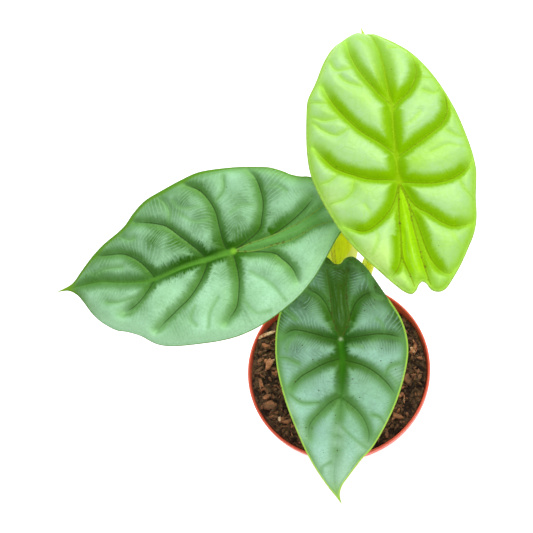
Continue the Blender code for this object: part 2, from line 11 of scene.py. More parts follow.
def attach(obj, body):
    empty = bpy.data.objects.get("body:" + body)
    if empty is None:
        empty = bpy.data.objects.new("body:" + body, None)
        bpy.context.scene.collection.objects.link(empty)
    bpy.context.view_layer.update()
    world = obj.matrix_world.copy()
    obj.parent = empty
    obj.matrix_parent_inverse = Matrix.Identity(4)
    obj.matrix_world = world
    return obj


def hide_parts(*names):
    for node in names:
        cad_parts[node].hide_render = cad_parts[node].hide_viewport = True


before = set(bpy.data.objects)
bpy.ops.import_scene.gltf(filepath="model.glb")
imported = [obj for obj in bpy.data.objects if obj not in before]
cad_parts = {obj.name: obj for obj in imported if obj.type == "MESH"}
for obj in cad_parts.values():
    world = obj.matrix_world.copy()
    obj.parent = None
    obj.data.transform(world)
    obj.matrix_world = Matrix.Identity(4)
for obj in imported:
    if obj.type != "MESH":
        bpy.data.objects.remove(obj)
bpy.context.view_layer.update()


# The pot.
# A thin injection-moulded polypropylene nursery pot: a straight-tapered wall, a stiffening lip band round the
# mouth, and a floor with round drain holes. The plastic is an even satin with a faint moulding grain.
MM = 0.001
POT_HEIGHT = 92.0
POT_WALL = 1.2
POT_SIDES = 160
FLOOR_THICKNESS = 1.6
BODY_FOOT_RADIUS = 39.2
BODY_TOP_RADIUS = 58.2
BODY_RINGS = (24.0, 46.0, 66.0)
LIP_RADIUS = 60.0
LIP_HEIGHT = 7.0
DRAIN_HOLES = 8
DRAIN_HOLE_RADIUS = 3.5
DRAIN_HOLE_SIDES = 28
DRAIN_CIRCLE_RADIUS = 27.0


def display(r, g, b):
    """Linear colour of a display colour given in 0 to 255."""
    return tuple(c / 255 / 12.92 if c < 10 else ((c / 255 + 0.055) / 1.055) ** 2.4 for c in (r, g, b))


class Finish:
    """A material under construction: each call adds one shader node and gives back its output."""

    def __init__(self, name, roughness, specular, tint=(1.0, 1.0, 1.0)):
        self.material = bpy.data.materials.new(name)
        self.material.use_nodes = True
        self.tree = self.material.node_tree
        self.shader = self.tree.nodes["Principled BSDF"]
        self.shader.inputs["Roughness"].default_value = roughness
        self.shader.inputs["Specular IOR Level"].default_value = specular
        self.shader.inputs["Specular Tint"].default_value = (*tint, 1.0)

    def feed(self, socket, value):
        """Links a node's output to the socket, or sets the socket to a colour or a number."""
        if isinstance(value, bpy.types.NodeSocket):
            self.tree.links.new(value, socket)
        elif isinstance(value, tuple) and len(value) == 3 and socket.type == "RGBA":
            socket.default_value = (*value, 1.0)
        else:
            socket.default_value = value

    def attribute(self, name):
        """A field that the mesh carries at each of its points."""
        node = self.tree.nodes.new("ShaderNodeAttribute")
        node.attribute_name = name
        return node.outputs["Fac"]

    def math(self, operation, a, b=0.0):
        node = self.tree.nodes.new("ShaderNodeMath")
        node.operation = operation
        for socket, value in zip(node.inputs, (a, b)):
            self.feed(socket, value)
        return node.outputs[0]

    def times(self, a, b):
        return self.math("MULTIPLY", a, b)

    def plus(self, a, b):
        return self.math("ADD", a, b)

    def less(self, a, b):
        return self.math("SUBTRACT", a, b)

    def ramp(self, value, low, high, out_low=0.0, out_high=1.0):
        """Eases from out_low to out_high while the value goes from low to high."""
        node = self.tree.nodes.new("ShaderNodeMapRange")
        node.interpolation_type = "SMOOTHSTEP"
        for socket, v in zip(node.inputs, (value, low, high, out_low, out_high)):
            self.feed(socket, v)
        return node.outputs[0]

    def mix(self, amount, a, b):
        """Colour a, with the given amount of colour b over it."""
        node = self.tree.nodes.new("ShaderNodeMix")
        node.data_type = "RGBA"
        self.feed(node.inputs["Factor"], amount)
        self.feed(node.inputs[6], a)
        self.feed(node.inputs[7], b)
        return node.outputs[2]

    def place(self, scale=(1.0, 1.0, 1.0)):
        """Object coordinates in millimetres, stretched."""
        coords = self.tree.nodes.new("ShaderNodeTexCoord")
        mapping = self.tree.nodes.new("ShaderNodeMapping")
        self.tree.links.new(coords.outputs["Object"], mapping.inputs["Vector"])
        mapping.inputs["Scale"].default_value = tuple(s / MM for s in scale)
        return mapping.outputs["Vector"]

    def noise(self, size, vector=None, detail=3.0, rough=0.55):
        """Soft noise whose lumps are about size millimetres."""
        node = self.tree.nodes.new("ShaderNodeTexNoise")
        self.feed(node.inputs["Vector"], vector or self.place())
        node.inputs["Scale"].default_value = 1.0 / size
        node.inputs["Detail"].default_value = detail
        node.inputs["Roughness"].default_value = rough
        return node.outputs["Fac"]

    def cells(self, size, feature="F1"):
        """Distance to the middle of the nearest cell, or to its edge, in cells of the given size."""
        node = self.tree.nodes.new("ShaderNodeTexVoronoi")
        node.feature = feature
        self.feed(node.inputs["Vector"], self.place())
        node.inputs["Scale"].default_value = 1.0 / size
        return node.outputs["Distance"]

    def combine(self, x, y):
        """A place for noise, made of two values."""
        node = self.tree.nodes.new("ShaderNodeCombineXYZ")
        for socket, value in zip(node.inputs, (x, y)):
            self.feed(socket, value)
        return node.outputs[0]

    def bump(self, height, depth, strength):
        """Relief of the given depth in millimetres."""
        node = self.tree.nodes.new("ShaderNodeBump")
        node.inputs["Strength"].default_value = strength
        node.inputs["Distance"].default_value = depth * MM
        self.feed(node.inputs["Height"], height)
        self.tree.links.new(node.outputs["Normal"], self.shader.inputs["Normal"])

    def colour(self, value):
        self.feed(self.shader.inputs["Base Color"], value)

    def rough(self, value):
        self.feed(self.shader.inputs["Roughness"], value)


def add_mesh(name, points, faces, materials, smooth=True, crease=None, **fields):
    """One mesh object from points in millimetres, with a float attribute for each named field."""
    mesh = bpy.data.meshes.new(name)
    mesh.from_pydata([tuple(float(c) * MM for c in p) for p in points], [], faces)
    mesh.update()
    if smooth:
        mesh.shade_smooth()
    if crease:
        mesh.set_sharp_from_angle(angle=math.radians(crease))
    for field, values in fields.items():
        mesh.attributes.new(field, "FLOAT", "POINT").data.foreach_set("value", np.asarray(values, np.float32))
    for material in materials:
        mesh.materials.append(material)
    piece = bpy.data.objects.new(name, mesh)
    bpy.context.scene.collection.objects.link(piece)
    return piece


def turned(profile, sides):
    """Points and faces of a closed profile of (radius, height) turned about the Z axis."""
    turn = [(math.cos(2 * math.pi * k / sides), math.sin(2 * math.pi * k / sides)) for k in range(sides)]
    points = [(r * c, r * s, z) for r, z in profile for c, s in turn]
    faces = []
    for ring in range(len(profile)):
        after = (ring + 1) % len(profile)
        for k in range(sides):
            n = (k + 1) % sides
            faces.append((ring * sides + k, ring * sides + n, after * sides + n, after * sides + k))
    return points, faces


def pot_inner_radius(z):
    """Inner radius of the tapered wall at a height."""
    slope = (BODY_TOP_RADIUS - BODY_FOOT_RADIUS) / (POT_HEIGHT - LIP_HEIGHT)
    return BODY_FOOT_RADIUS - POT_WALL + slope * z


pot_finish = Finish("terracotta_plastic", roughness=0.4, specular=0.2)
soft_patches = pot_finish.noise(26.0, detail=2.0)
grain = pot_finish.noise(0.5, detail=2.0)
scuffs = pot_finish.noise(4.0, pot_finish.place((1.0, 1.0, 0.25)), detail=6.0, rough=0.7)
scuffs = pot_finish.ramp(scuffs, 0.56, 0.72)
pot_colour = pot_finish.mix(soft_patches, display(226, 86, 62), display(240, 108, 84))
pot_colour = pot_finish.mix(pot_finish.times(scuffs, 0.22), pot_colour, display(246, 150, 128))
pot_finish.colour(pot_colour)
pot_finish.rough(pot_finish.ramp(pot_finish.plus(grain, scuffs), 0.3, 1.6, 0.34, 0.56))
pot_finish.bump(pot_finish.plus(grain, pot_finish.times(soft_patches, 2.0)), 0.05, 0.6)

lip_bottom = POT_HEIGHT - LIP_HEIGHT
mouth = pot_inner_radius(POT_HEIGHT)
pot_profile = [
    (0.01, 0.0), (30.0, 0.0), (37.6, 0.0), (38.5, 0.3), (39.0, 1.0), (BODY_FOOT_RADIUS + 0.3, 2.4),
    *((pot_inner_radius(z) + POT_WALL, z) for z in BODY_RINGS),
    (BODY_TOP_RADIUS - 0.2, lip_bottom - 0.8), (BODY_TOP_RADIUS + 0.1, lip_bottom - 0.1),
    (BODY_TOP_RADIUS + 0.5, lip_bottom), (LIP_RADIUS - 0.6, lip_bottom + 0.1),
    (LIP_RADIUS - 0.2, lip_bottom + 0.5), (LIP_RADIUS - 0.1, lip_bottom + 1.2),
    (LIP_RADIUS, POT_HEIGHT - 2.2), (LIP_RADIUS - 0.02, POT_HEIGHT - 0.7),
    (LIP_RADIUS - 0.15, POT_HEIGHT - 0.25), (LIP_RADIUS - 0.45, POT_HEIGHT - 0.03),
    (mouth + 0.6, POT_HEIGHT), (mouth + 0.25, POT_HEIGHT - 0.1),
    (mouth + 0.02, POT_HEIGHT - 0.5), (mouth - 0.1, POT_HEIGHT - 1.4),
    *((pot_inner_radius(z), z) for z in BODY_RINGS[::-1]), (pot_inner_radius(3.0), 3.0),
    (pot_inner_radius(FLOOR_THICKNESS) - 0.8, FLOOR_THICKNESS), (30.0, FLOOR_THICKNESS),
    (0.01, FLOOR_THICKNESS),
]
pot_points, pot_faces = turned(pot_profile, POT_SIDES)
pot = add_mesh("pot_moulding", pot_points, pot_faces, [pot_finish.material], crease=35)
drill_points = []
drill_faces = []
for hole in range(DRAIN_HOLES):
    angle = 2 * math.pi * (hole + 0.5) / DRAIN_HOLES
    middle = (DRAIN_CIRCLE_RADIUS * math.cos(angle), DRAIN_CIRCLE_RADIUS * math.sin(angle))
    low = len(drill_points)
    high = low + DRAIN_HOLE_SIDES
    for z in (-3.0, 6.0):
        for k in range(DRAIN_HOLE_SIDES):
            turn = 2 * math.pi * k / DRAIN_HOLE_SIDES
            drill_points.append((middle[0] + DRAIN_HOLE_RADIUS * math.cos(turn),
                                 middle[1] + DRAIN_HOLE_RADIUS * math.sin(turn), z))
    for k in range(DRAIN_HOLE_SIDES):
        n = (k + 1) % DRAIN_HOLE_SIDES
        drill_faces.append((low + k, low + n, high + n, high + k))
    drill_faces.append(tuple(range(low, high))[::-1])
    drill_faces.append(tuple(range(high, high + DRAIN_HOLE_SIDES)))
drills = add_mesh("drain_drills", drill_points, drill_faces, [])
cut = pot.modifiers.new("drain holes", "BOOLEAN")
cut.operation = "DIFFERENCE"
cut.object = drills
bpy.context.view_layer.update()
drilled = bpy.data.meshes.new_from_object(pot.evaluated_get(bpy.context.evaluated_depsgraph_get()))
pot.modifiers.clear()
pot.data = drilled
bpy.data.objects.remove(drills)
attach(pot, "root")
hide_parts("pot")


# The potting mix.
# Damp peat crumbs with red-brown bark chips, some dried pale, and a few fibres, filling the pot to just under
# its lip. It was scooped in loose, so the surface rolls, and chips lie at all angles, half sunk.
SOIL_LEVEL = 88.2
SOIL_STEP = 1.25
HOLLOW_START = 28.0
HOLLOW_FALL = 0.35
BANK_START = 42.0
BANK_WIDTH = 12.0
BANK_HEIGHT = 1.6
FIT_GAP = 0.3
CRUMBS = 1500
CHIPS = 520
SLIVERS = 150
PEAT_TONE = 0.18
DEEP_PEAT_TONE = 0.15
CRUMB_TONES = (0.05, 0.12, 0.2, 0.28, 0.4)
CHIP_TONES = (0.2, 0.28, 0.34, 0.38, 0.42, 0.46, 0.5, 0.56, 0.64, 0.74)
BARK_COLOURS = ((0.24, 0.5, (140, 96, 68)), (0.5, 0.74, (184, 118, 82)), (0.78, 1.0, (236, 200, 160)))
STEM_FEET = [(0.5, 12.0), (-10.0, 13.0), (10.0, 0.0)]
STEM_FOOT_RADIUS = 4.4
# Each large chip on top: its two ends, half width, half height, and tone, from dark peat up to dried bark.
BARK_ON_TOP = [
    ((-56.0, 23.2), (-39.9, 29.3), 1.7, 0.9, 0.98),
    ((-43.3, 10.6), (-48.3, 1.1), 2.5, 1.0, 0.84),
    ((-56.6, -1.5), (-49.4, 4.6), 1.3, 0.8, 0.34),
    ((-50.0, -22.1), (-40.0, -23.9), 3.9, 1.8, 0.56),
    ((-37.4, -34.0), (-30.9, -33.7), 1.7, 0.9, 0.62),
    ((-39.4, -29.9), (-38.8, -34.7), 1.2, 0.7, 0.96),
    ((33.4, -32.4), (41.6, -34.8), 2.2, 1.3, 0.66),
    ((43.6, -4.1), (46.6, -13.1), 2.4, 1.2, 0.58),
    ((38.3, -21.4), (42.3, -17.5), 1.6, 0.9, 0.82),
    ((47.3, 13.1), (50.5, 8.8), 1.5, 0.8, 0.9),
]


def unit(value):
    """The value, held between nought and one."""
    return np.clip(value, 0.0, 1.0)


def soil_height(x, y):
    """The rolling surface, hollow at the back and banked up at the left wall."""
    rolling = 0.8 * np.sin(x / 13 + 1.0) * np.cos(y / 11) + 0.5 * np.sin((x + y) / 7.0)
    rolling = rolling + BANK_HEIGHT * unit((-x - BANK_START) / BANK_WIDTH)
    return SOIL_LEVEL - HOLLOW_FALL * np.maximum(y - HOLLOW_START, 0.0) + rolling


def soil_rim_radius(turn):
    """How far the mix reaches toward the pot wall in each direction."""
    level = soil_height(LIP_RADIUS * np.cos(turn), LIP_RADIUS * np.sin(turn))
    return pot_inner_radius(level - 0.5) - FIT_GAP


def hex_grid(low, high, spacing):
    """Evenly spaced points, each row shifted by half a step from the one before."""
    rows = []
    y = low[1]
    shift = 0.0
    while y < high[1]:
        x = np.arange(low[0] + shift, high[0], spacing)
        rows.append(np.stack([x, np.full(len(x), y)], axis=1))
        y += spacing * 0.866
        shift = spacing / 2 - shift
    return np.vstack(rows)


def triangulate(loop, lines, extra):
    """Triangles over the area inside the loop, with the lines as edges."""
    fuse = 0.02
    points = [tuple(p) for p in loop]
    edges = [(i, (i + 1) % len(loop)) for i in range(len(loop))]
    for line in lines:
        first = len(points)
        points.extend(tuple(p) for p in line)
        edges.extend((first + i, first + i + 1) for i in range(len(line) - 1))
    points.extend(tuple(p) for p in extra)
    points = [(float(x), float(y)) for x, y in points]
    verts, _, faces, *_ = delaunay_2d_cdt(points, edges, [list(range(len(loop)))], 1, fuse)
    used = sorted({i for face in faces for i in face})
    place = {old: new for new, old in enumerate(used)}
    return np.array([tuple(verts[i]) for i in used]), [tuple(place[i] for i in face) for face in faces]


def boundary_edges(faces):
    """The edges that only one face has, each in its face's direction."""
    seen = {(a, b) for face in faces for a, b in zip(face, face[1:] + face[:1])}
    return [edge for edge in seen if (edge[1], edge[0]) not in seen]


soil_draw = random.Random(11)
rim_turn = np.linspace(0, 2 * math.pi, 241)[:-1]
soil_rim = np.stack([soil_rim_radius(rim_turn) * f(rim_turn) for f in (np.cos, np.sin)], axis=1)
soil_grid = hex_grid((-60, -60), (60, 60), SOIL_STEP)
soil_grid = soil_grid + np.array([[soil_draw.uniform(-0.3, 0.3) for _ in (0, 1)] for _ in soil_grid])
soil_grid = soil_grid[np.hypot(*soil_grid.T) < soil_rim_radius(np.arctan2(*soil_grid.T[::-1])) - 0.8]
soil_flat, soil_faces = triangulate(soil_rim, [], soil_grid)
soil_z = soil_height(*soil_flat.T)
for k, (x, y) in enumerate(soil_flat):
    lumps = noise.fractal(Vector((x / 5, y / 5, 3.0)), 0.7, 2.2, 5)
    pits = noise.noise(Vector((x / 2.2, y / 2.2, 9.0)))
    soil_z[k] += 1.3 * lumps + 0.5 * pits - 0.4
soil_points = [(x, y, z) for (x, y), z in zip(soil_flat, soil_z)]
soil_tone = [PEAT_TONE] * len(soil_points)
follow = dict(boundary_edges(soil_faces))
loop = [next(iter(follow))]
while follow[loop[-1]] != loop[0]:
    loop.append(follow[loop[-1]])
upper = loop
for level in (44.0, FLOOR_THICKNESS + FIT_GAP):
    lower = []
    for i in loop:
        x, y = soil_flat[i]
        scale = (pot_inner_radius(level) - FIT_GAP) / math.hypot(x, y)
        lower.append(len(soil_points))
        soil_points.append((x * scale, y * scale, level))
        soil_tone.append(DEEP_PEAT_TONE)
    soil_faces += [(upper[(k + 1) % len(loop)], upper[k], lower[k], lower[(k + 1) % len(loop)])
                   for k in range(len(loop))]
    upper = lower
soil_faces.append(tuple(upper)[::-1])


def add_lump(middle, size, turn, tone, corners, taper):
    """One rough crumb or chip in the mix: uneven rings between two caps, turned to lie as it fell."""
    first = len(soil_points)
    radii = [soil_draw.uniform(0.6, 1.15) for _ in range(corners)]
    for level, grow in ((-1.0, 0.8), (-0.25, 1.0), (0.45, 0.96), (1.0, taper)):
        for k in range(corners):
            a = 2 * math.pi * (k + soil_draw.uniform(-0.2, 0.2)) / corners
            r = radii[k] * grow * soil_draw.uniform(0.9, 1.06)
            local = np.array([size[0] * r * math.cos(a), size[1] * r * math.sin(a),
                              size[2] * (level + soil_draw.uniform(-0.18, 0.18))])
            soil_points.append(tuple(np.array(middle) + np.array(turn) @ local))
            soil_tone.append(tone + soil_draw.uniform(-0.04, 0.04))
    for level in range(3):
        for k in range(corners):
            a = first + level * corners + k
            b = first + level * corners + (k + 1) % corners
            soil_faces.append((a, b, b + corners, a + corners))
    soil_faces.append(tuple(range(first, first + corners))[::-1])
    soil_faces.append(tuple(range(first + 3 * corners, first + 4 * corners)))


def tumbled(lean):
    """A turn about the vertical, after a lean of up to the given angle each way."""
    a = soil_draw.uniform(0, 2 * math.pi)
    b = soil_draw.uniform(-lean, lean)
    c = soil_draw.uniform(-lean, lean)
    about_z = np.array([[math.cos(a), -math.sin(a), 0], [math.sin(a), math.cos(a), 0], [0, 0, 1]])
    about_x = np.array([[1, 0, 0], [0, math.cos(b), -math.sin(b)], [0, math.sin(b), math.cos(b)]])
    about_y = np.array([[math.cos(c), 0, math.sin(c)], [0, 1, 0], [-math.sin(c), 0, math.cos(c)]])
    return about_z @ about_x @ about_y


def scatter(reach):
    """A place inside the pot wall and clear of the stems, for a lump of the given reach."""
    while True:
        a = soil_draw.uniform(0, 2 * math.pi)
        r = (soil_rim_radius(a) - reach - 0.4) * math.sqrt(soil_draw.random())
        x, y = r * math.cos(a), r * math.sin(a)
        if all(math.hypot(x - fx, y - fy) > STEM_FOOT_RADIUS + reach for fx, fy in STEM_FEET):
            return x, y


for _ in range(CRUMBS):
    size = soil_draw.uniform(0.5, 1.5)
    x, y = scatter(size)
    add_lump((x, y, soil_height(x, y) + size * soil_draw.uniform(-0.2, 0.5)),
             (size, size * soil_draw.uniform(0.6, 1.0), size * soil_draw.uniform(0.5, 0.9)),
             tumbled(0.9), soil_draw.choice(CRUMB_TONES), corners=5, taper=0.75)
for _ in range(CHIPS):
    length = soil_draw.uniform(1.2, 4.6)
    x, y = scatter(length)
    add_lump((x, y, soil_height(x, y) + soil_draw.uniform(-0.6, 1.1)),
             (length, length * soil_draw.uniform(0.16, 0.6), soil_draw.uniform(0.5, 1.6)),
             tumbled(0.9), soil_draw.choice(CHIP_TONES), corners=soil_draw.choice((5, 6, 7)),
             taper=soil_draw.uniform(0.4, 0.8))
for _ in range(SLIVERS):
    length = soil_draw.uniform(1.6, 4.4)
    x, y = scatter(length)
    add_lump((x, y, soil_height(x, y) + soil_draw.uniform(0.2, 1.4)),
             (length, soil_draw.uniform(0.25, 0.5), soil_draw.uniform(0.2, 0.4)),
             tumbled(0.5), soil_draw.uniform(0.5, 0.85), corners=5, taper=0.6)
for start, end, half_width, half_height, tone in BARK_ON_TOP:
    span = (end[0] - start[0], end[1] - start[1])
    half_length = math.hypot(*span) / 2
    c, s = span[0] / half_length / 2, span[1] / half_length / 2
    x, y = (start[0] + end[0]) / 2, (start[1] + end[1]) / 2
    add_lump((x, y, soil_height(x, y) + half_height * 0.5 + 0.7), (half_length, half_width, half_height),
             ((c, -s, 0.0), (s, c, 0.04), (0.0, 0.0, 1.0)), tone, corners=8, taper=0.8)

mix_finish = Finish("bark_and_peat", roughness=0.9, specular=0.25)
tone = mix_finish.attribute("tone")
flecks = mix_finish.noise(0.7, detail=5.0, rough=0.7)
streaks = mix_finish.noise(1.6, mix_finish.place((0.5, 2.0, 2.0)), detail=4.0)
patches = mix_finish.noise(2.6, detail=3.0, rough=0.6)
level = mix_finish.plus(tone, mix_finish.times(mix_finish.less(flecks, 0.5), 0.6))
level = mix_finish.plus(level, mix_finish.times(mix_finish.less(patches, 0.5), 0.8))
pockets = mix_finish.noise(8.0, detail=2.0)
level = mix_finish.less(level, mix_finish.ramp(pockets, 0.48, 0.62, 0.0, 0.22))
mix_colour = mix_finish.mix(mix_finish.ramp(level, 0.02, 0.26), display(44, 30, 21), display(102, 76, 54))
for low, high, bark in BARK_COLOURS:
    mix_colour = mix_finish.mix(mix_finish.ramp(level, low, high), mix_colour, display(*bark))
mix_colour = mix_finish.mix(mix_finish.ramp(streaks, 0.5, 0.8, 0.0, 0.45), mix_colour, display(84, 54, 38))
mix_finish.colour(mix_colour)
mix_finish.bump(mix_finish.plus(flecks, streaks), 0.5, 0.8)
mix = add_mesh("potting_mix_fill", soil_points, soil_faces, [mix_finish.material], smooth=False,
               tone=soil_tone)
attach(mix, "root")
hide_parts("potting_mix")


# The stalks.
# Three fleshy yellow-green petioles from one crown under the mix. Each is channelled and clasps at its foot,
# where thin sheath wings wrap the next leaf, and round above. The left one has a broad open sheath midway.
STALK_STEP = 2.0
SHEATH_CREASE_DEPTH = 0.35


def curve_through(points, spacing):
    """Samples a smooth curve through the points, evenly by its length."""
    p = np.array(points, float)
    p = np.vstack([2 * p[0] - p[1], p, 2 * p[-1] - p[-2]])
    t = np.linspace(0, 1, 16, endpoint=False)[:, None]
    runs = []
    for a, b, c, d in zip(p, p[1:], p[2:], p[3:]):
        runs.append(0.5 * (2 * b + (c - a) * t + (2 * a - 5 * b + 4 * c - d) * t ** 2
                           + (3 * b - a - 3 * c + d) * t ** 3))
    fine = np.vstack(runs + [p[-2:-1]])
    run = np.concatenate([[0], np.cumsum(np.linalg.norm(np.diff(fine, axis=0), axis=1))])
    at = np.linspace(0, run[-1], max(2, round(run[-1] / spacing) + 1))
    return np.stack([np.interp(at, run, fine[:, k]) for k in range(fine.shape[1])], axis=1)


stalk_finish = Finish("stalk_skin", roughness=0.4, specular=0.4, tint=(1.0, 1.0, 0.2))
stalk_run = stalk_finish.attribute("run")
stalk_around = stalk_finish.attribute("around")
stalk_dry = stalk_finish.attribute("dry")
painted_wing_light = stalk_finish.attribute("wing")
fibres = stalk_finish.combine(stalk_finish.times(stalk_run, 0.05), stalk_finish.times(stalk_around, 9.0))
fibres = stalk_finish.noise(1.0, fibres, detail=3.0)
mottle = stalk_finish.noise(5.0, detail=4.0)
ribbed = stalk_finish.ramp(fibres, 0.3, 0.7)
blotches = stalk_finish.ramp(mottle, 0.42, 0.7, 0.0, 0.3)
pale_foot = stalk_finish.ramp(stalk_run, 0.0, 34.0, 0.6, 0.0)
stalk_colour = stalk_finish.mix(ribbed, display(220, 224, 0), display(242, 246, 6))
stalk_colour = stalk_finish.mix(blotches, stalk_colour, display(196, 200, 0))
# Painted light: the open sheath wing is paler where light falls on it and through its thin sheet.
stalk_colour = stalk_finish.mix(painted_wing_light, stalk_colour, display(226, 230, 110))
stalk_colour = stalk_finish.mix(pale_foot, stalk_colour, display(206, 188, 120))
dried = stalk_finish.noise(2.2, stalk_finish.place((1.0, 1.0, 0.3)), detail=5.0)
dried = stalk_finish.times(stalk_dry, stalk_finish.ramp(dried, 0.36, 0.6, 0.3, 1.0))
stalk_colour = stalk_finish.mix(dried, stalk_colour, display(150, 84, 20))
stalk_finish.colour(stalk_colour)
stalk_finish.bump(stalk_finish.plus(fibres, stalk_finish.times(dried, 0.8)), 0.18, 0.7)


def add_stalk(name, node, path, section, wide, facing, creases=(), wing_from=None, sides=32):
    """A swept stalk, its end cut square to the direction it is facing. Each section row is a share of the
    length, half width, half thickness, and channel depth. A crease or the edge of the wing is given across
    the stalk at half its length, with how it drifts toward the blade."""
    line = np.vstack([np.array(path[:1], float), curve_through(path[1:], STALK_STEP)])
    run = np.concatenate([[0], np.cumsum(np.linalg.norm(np.diff(line, axis=0), axis=1))])
    table = np.array(section, float)
    half_width, half_depth, channel = (np.interp(run / run[-1], table[:, 0], table[:, k]) for k in (1, 2, 3))
    heading = np.gradient(line, axis=0)
    heading[0] = heading[1] = (0.0, 0.0, 1.0)
    heading /= np.linalg.norm(heading, axis=1)[:, None]
    across = np.array(wide, float)
    face = np.array(facing) / np.linalg.norm(facing)
    points, around, length, dry, wing = [], [], [], [], []
    for k, middle in enumerate(line):
        across = across - heading[k] * (across @ heading[k])
        across /= np.linalg.norm(across)
        out = np.cross(heading[k], across)
        open_sheath = unit((half_width[k] - 3.2) / 4.0)
        past_half = run[k] / run[-1] - 0.5
        for side in range(sides):
            a = 2 * math.pi * side / sides
            c, s = math.cos(a), math.sin(a)
            thin = 1.0 - 0.55 * open_sheath * abs(c) ** 3
            x = half_width[k] * c
            y = half_depth[k] * s * thin + channel[k] * (c * c - 0.5)
            brown = 0.0
            for where, breadth, drift in creases:
                line_here = max(0.0, 1 - abs(c - where - drift * past_half) / breadth) if s < 0 else 0.0
                brown = max(brown, line_here * open_sheath)
                y -= SHEATH_CREASE_DEPTH * line_here * open_sheath
            point = middle + across * x + out * y
            if k == len(line) - 1:
                point = point - heading[k] * ((point - middle) @ face) / (heading[k] @ face)
            points.append(point)
            around.append(c * (1 if s < 0 else 0.9))
            length.append(run[k])
            dry.append(brown)
            winged = 0.0
            if wing_from:
                winged = unit((c - wing_from[0] - wing_from[1] * past_half) / 0.1)
            wing.append(open_sheath * winged)
    faces = []
    for k in range(len(line) - 1):
        for side in range(sides):
            a = k * sides + side
            b = k * sides + (side + 1) % sides
            faces.append((a, b, b + sides, a + sides))
    faces += [tuple(range(sides))[::-1], tuple(range((len(line) - 1) * sides, len(line) * sides))]
    piece = add_mesh(name, points, faces, [stalk_finish.material], crease=70,
                     run=length, around=around, dry=dry, wing=wing)
    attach(piece, "root")
    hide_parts(node)


add_stalk("back_stalk", "petiole_back",
          [(0.5, 12, 79.8), (0.5, 12, 91), (8, 19.5, 111), (27.5, 38.5, 172), (45, 53.5, 222),
           (51.5, 59.1, 240.8)],
          [(0.0, 4.4, 4.4, 0), (0.07, 4.4, 4.4, 0), (0.2, 5.0, 3.2, 1.2), (0.56, 4.0, 2.8, 1.0),
           (0.72, 2.9, 2.6, 0.2), (0.8, 2.6, 2.5, 0), (0.97, 2.3, 2.3, 0), (1.0, 2.9, 2.9, 0)],
          (0.9, -0.35, 0.0), (-0.007, 0.055, 0.998))
add_stalk("left_stalk", "petiole_left",
          [(-10, 13, 79.8), (-10, 13, 92), (-5, 25, 114), (4.5, 40, 142), (11, 50.5, 165), (12.5, 58, 181),
           (3, 60.5, 188.5), (-19, 54, 188), (-44.8, 45.9, 189.8), (-50.6, 44.1, 193.2)],
          [(0, 4.4, 4.4, 0), (0.08, 4.4, 4.4, 0), (0.17, 6, 2.8, 1.5), (0.28, 9, 2, 3.2), (0.45, 9.6, 1.9, 3),
           (0.55, 10.6, 1.8, 3), (0.62, 6.6, 2.2, 1.6), (0.68, 3.2, 2.6, 0.2), (0.75, 2.8, 2.6, 0),
           (0.97, 2.4, 2.4, 0), (1, 2.9, 2.9, 0)],
          (1.0, 0.1, 0.0), (-0.141, -0.160, 0.977), creases=((-0.47, 0.06, -2.9), (-0.31, 0.05, -2.9)),
          wing_from=(-0.03, 9.7), sides=96)
add_stalk("front_stalk", "petiole_front",
          [(10, 0, 79.8), (10, 0, 91), (12, 3, 111), (11.5, 2, 136), (9.3, -3.8, 160.8)],
          [(0.0, 4.4, 4.4, 0), (0.11, 4.4, 4.4, 0), (0.3, 5.6, 3.0, 1.6), (0.55, 4.4, 2.8, 0.8),
           (0.75, 2.7, 2.6, 0), (0.96, 2.3, 2.3, 0), (1.0, 2.9, 2.9, 0)],
          (1.0, 0.0, 0.0), (-0.025, -0.446, 0.895))


# The blades.
# Thick waxy peltate blades, each hung from a stalk that meets it inside the notch. Panels with a pale silvery
# bloom puff up between deep-sunk veins, a thin margin runs round, and stout ribs stand out underneath. Their
# top colours also carry painted shade in the valleys, folds and shaded patches, and painted light on the
# puffs and lit patches.
BLADE_STEP = 0.85
BLADE_THICKNESS = 0.9
BLADE_ROUGHNESS = 0.42
EDGE_THINNING = 0.3
RIB_DEPTH = 1.1
SMALL_RIB_DEPTH = 0.35
SKIN_WAVE_HEIGHT = 0.16
SKIN_WAVE_LENGTH = 9.0
MARGIN_WIDTH = 1.1
PUFF_REACH = 5.2
AXIL_ROUNDING = 2.2
SCALLOP_LEVEL = 3.0
CREASE_LEVEL = 6.5


def nearest(points, lines):
    """For each point: the distance to the nearest line, that line's number, how far along it the foot is in
    millimetres and as a share, which side the point is on (toward the tip above nought), and the distance to
    the next nearest line."""
    best = np.full(len(points), 1e9)
    which = np.zeros(len(points), int)
    run, part, side = np.zeros((3, len(points)))
    second = best.copy()
    for number, line in enumerate(lines):
        mine = np.full(len(points), 1e9)
        along = np.zeros(len(points))
        toward = np.zeros(len(points))
        travelled = 0.0
        for a, b in zip(line, line[1:]):
            d = b - a
            length = math.hypot(*d)
            t = unit(((points - a) @ d) / max(length * length, 1e-12))
            offset = points - a - t[:, None] * d
            gap = np.linalg.norm(offset, axis=1)
            closer = gap < mine
            along = np.where(closer, travelled + t * length, along)
            toward = np.where(closer, offset[:, 1] / np.maximum(gap, 0.3), toward)
            mine = np.minimum(mine, gap)
            travelled += length
        closer = mine < best
        second = np.where(closer, best, np.minimum(second, mine))
        which = np.where(closer, number, which)
        run = np.where(closer, along, run)
        part = np.where(closer, along / travelled, part)
        side = np.where(closer, toward, side)
        best = np.minimum(best, mine)
    return best, which, run, part, side, second


def inside(points, loop):
    """Which of the points lie inside the loop."""
    hit = np.zeros(len(points), bool)
    for a, b in zip(loop, np.roll(loop, -1, axis=0)):
        spans = (a[1] > points[:, 1]) != (b[1] > points[:, 1])
        rise = b[1] - a[1] if b[1] != a[1] else 1e-9
        hit ^= spans & (points[:, 0] < (b[0] - a[0]) * (points[:, 1] - a[1]) / rise + a[0])
    return hit


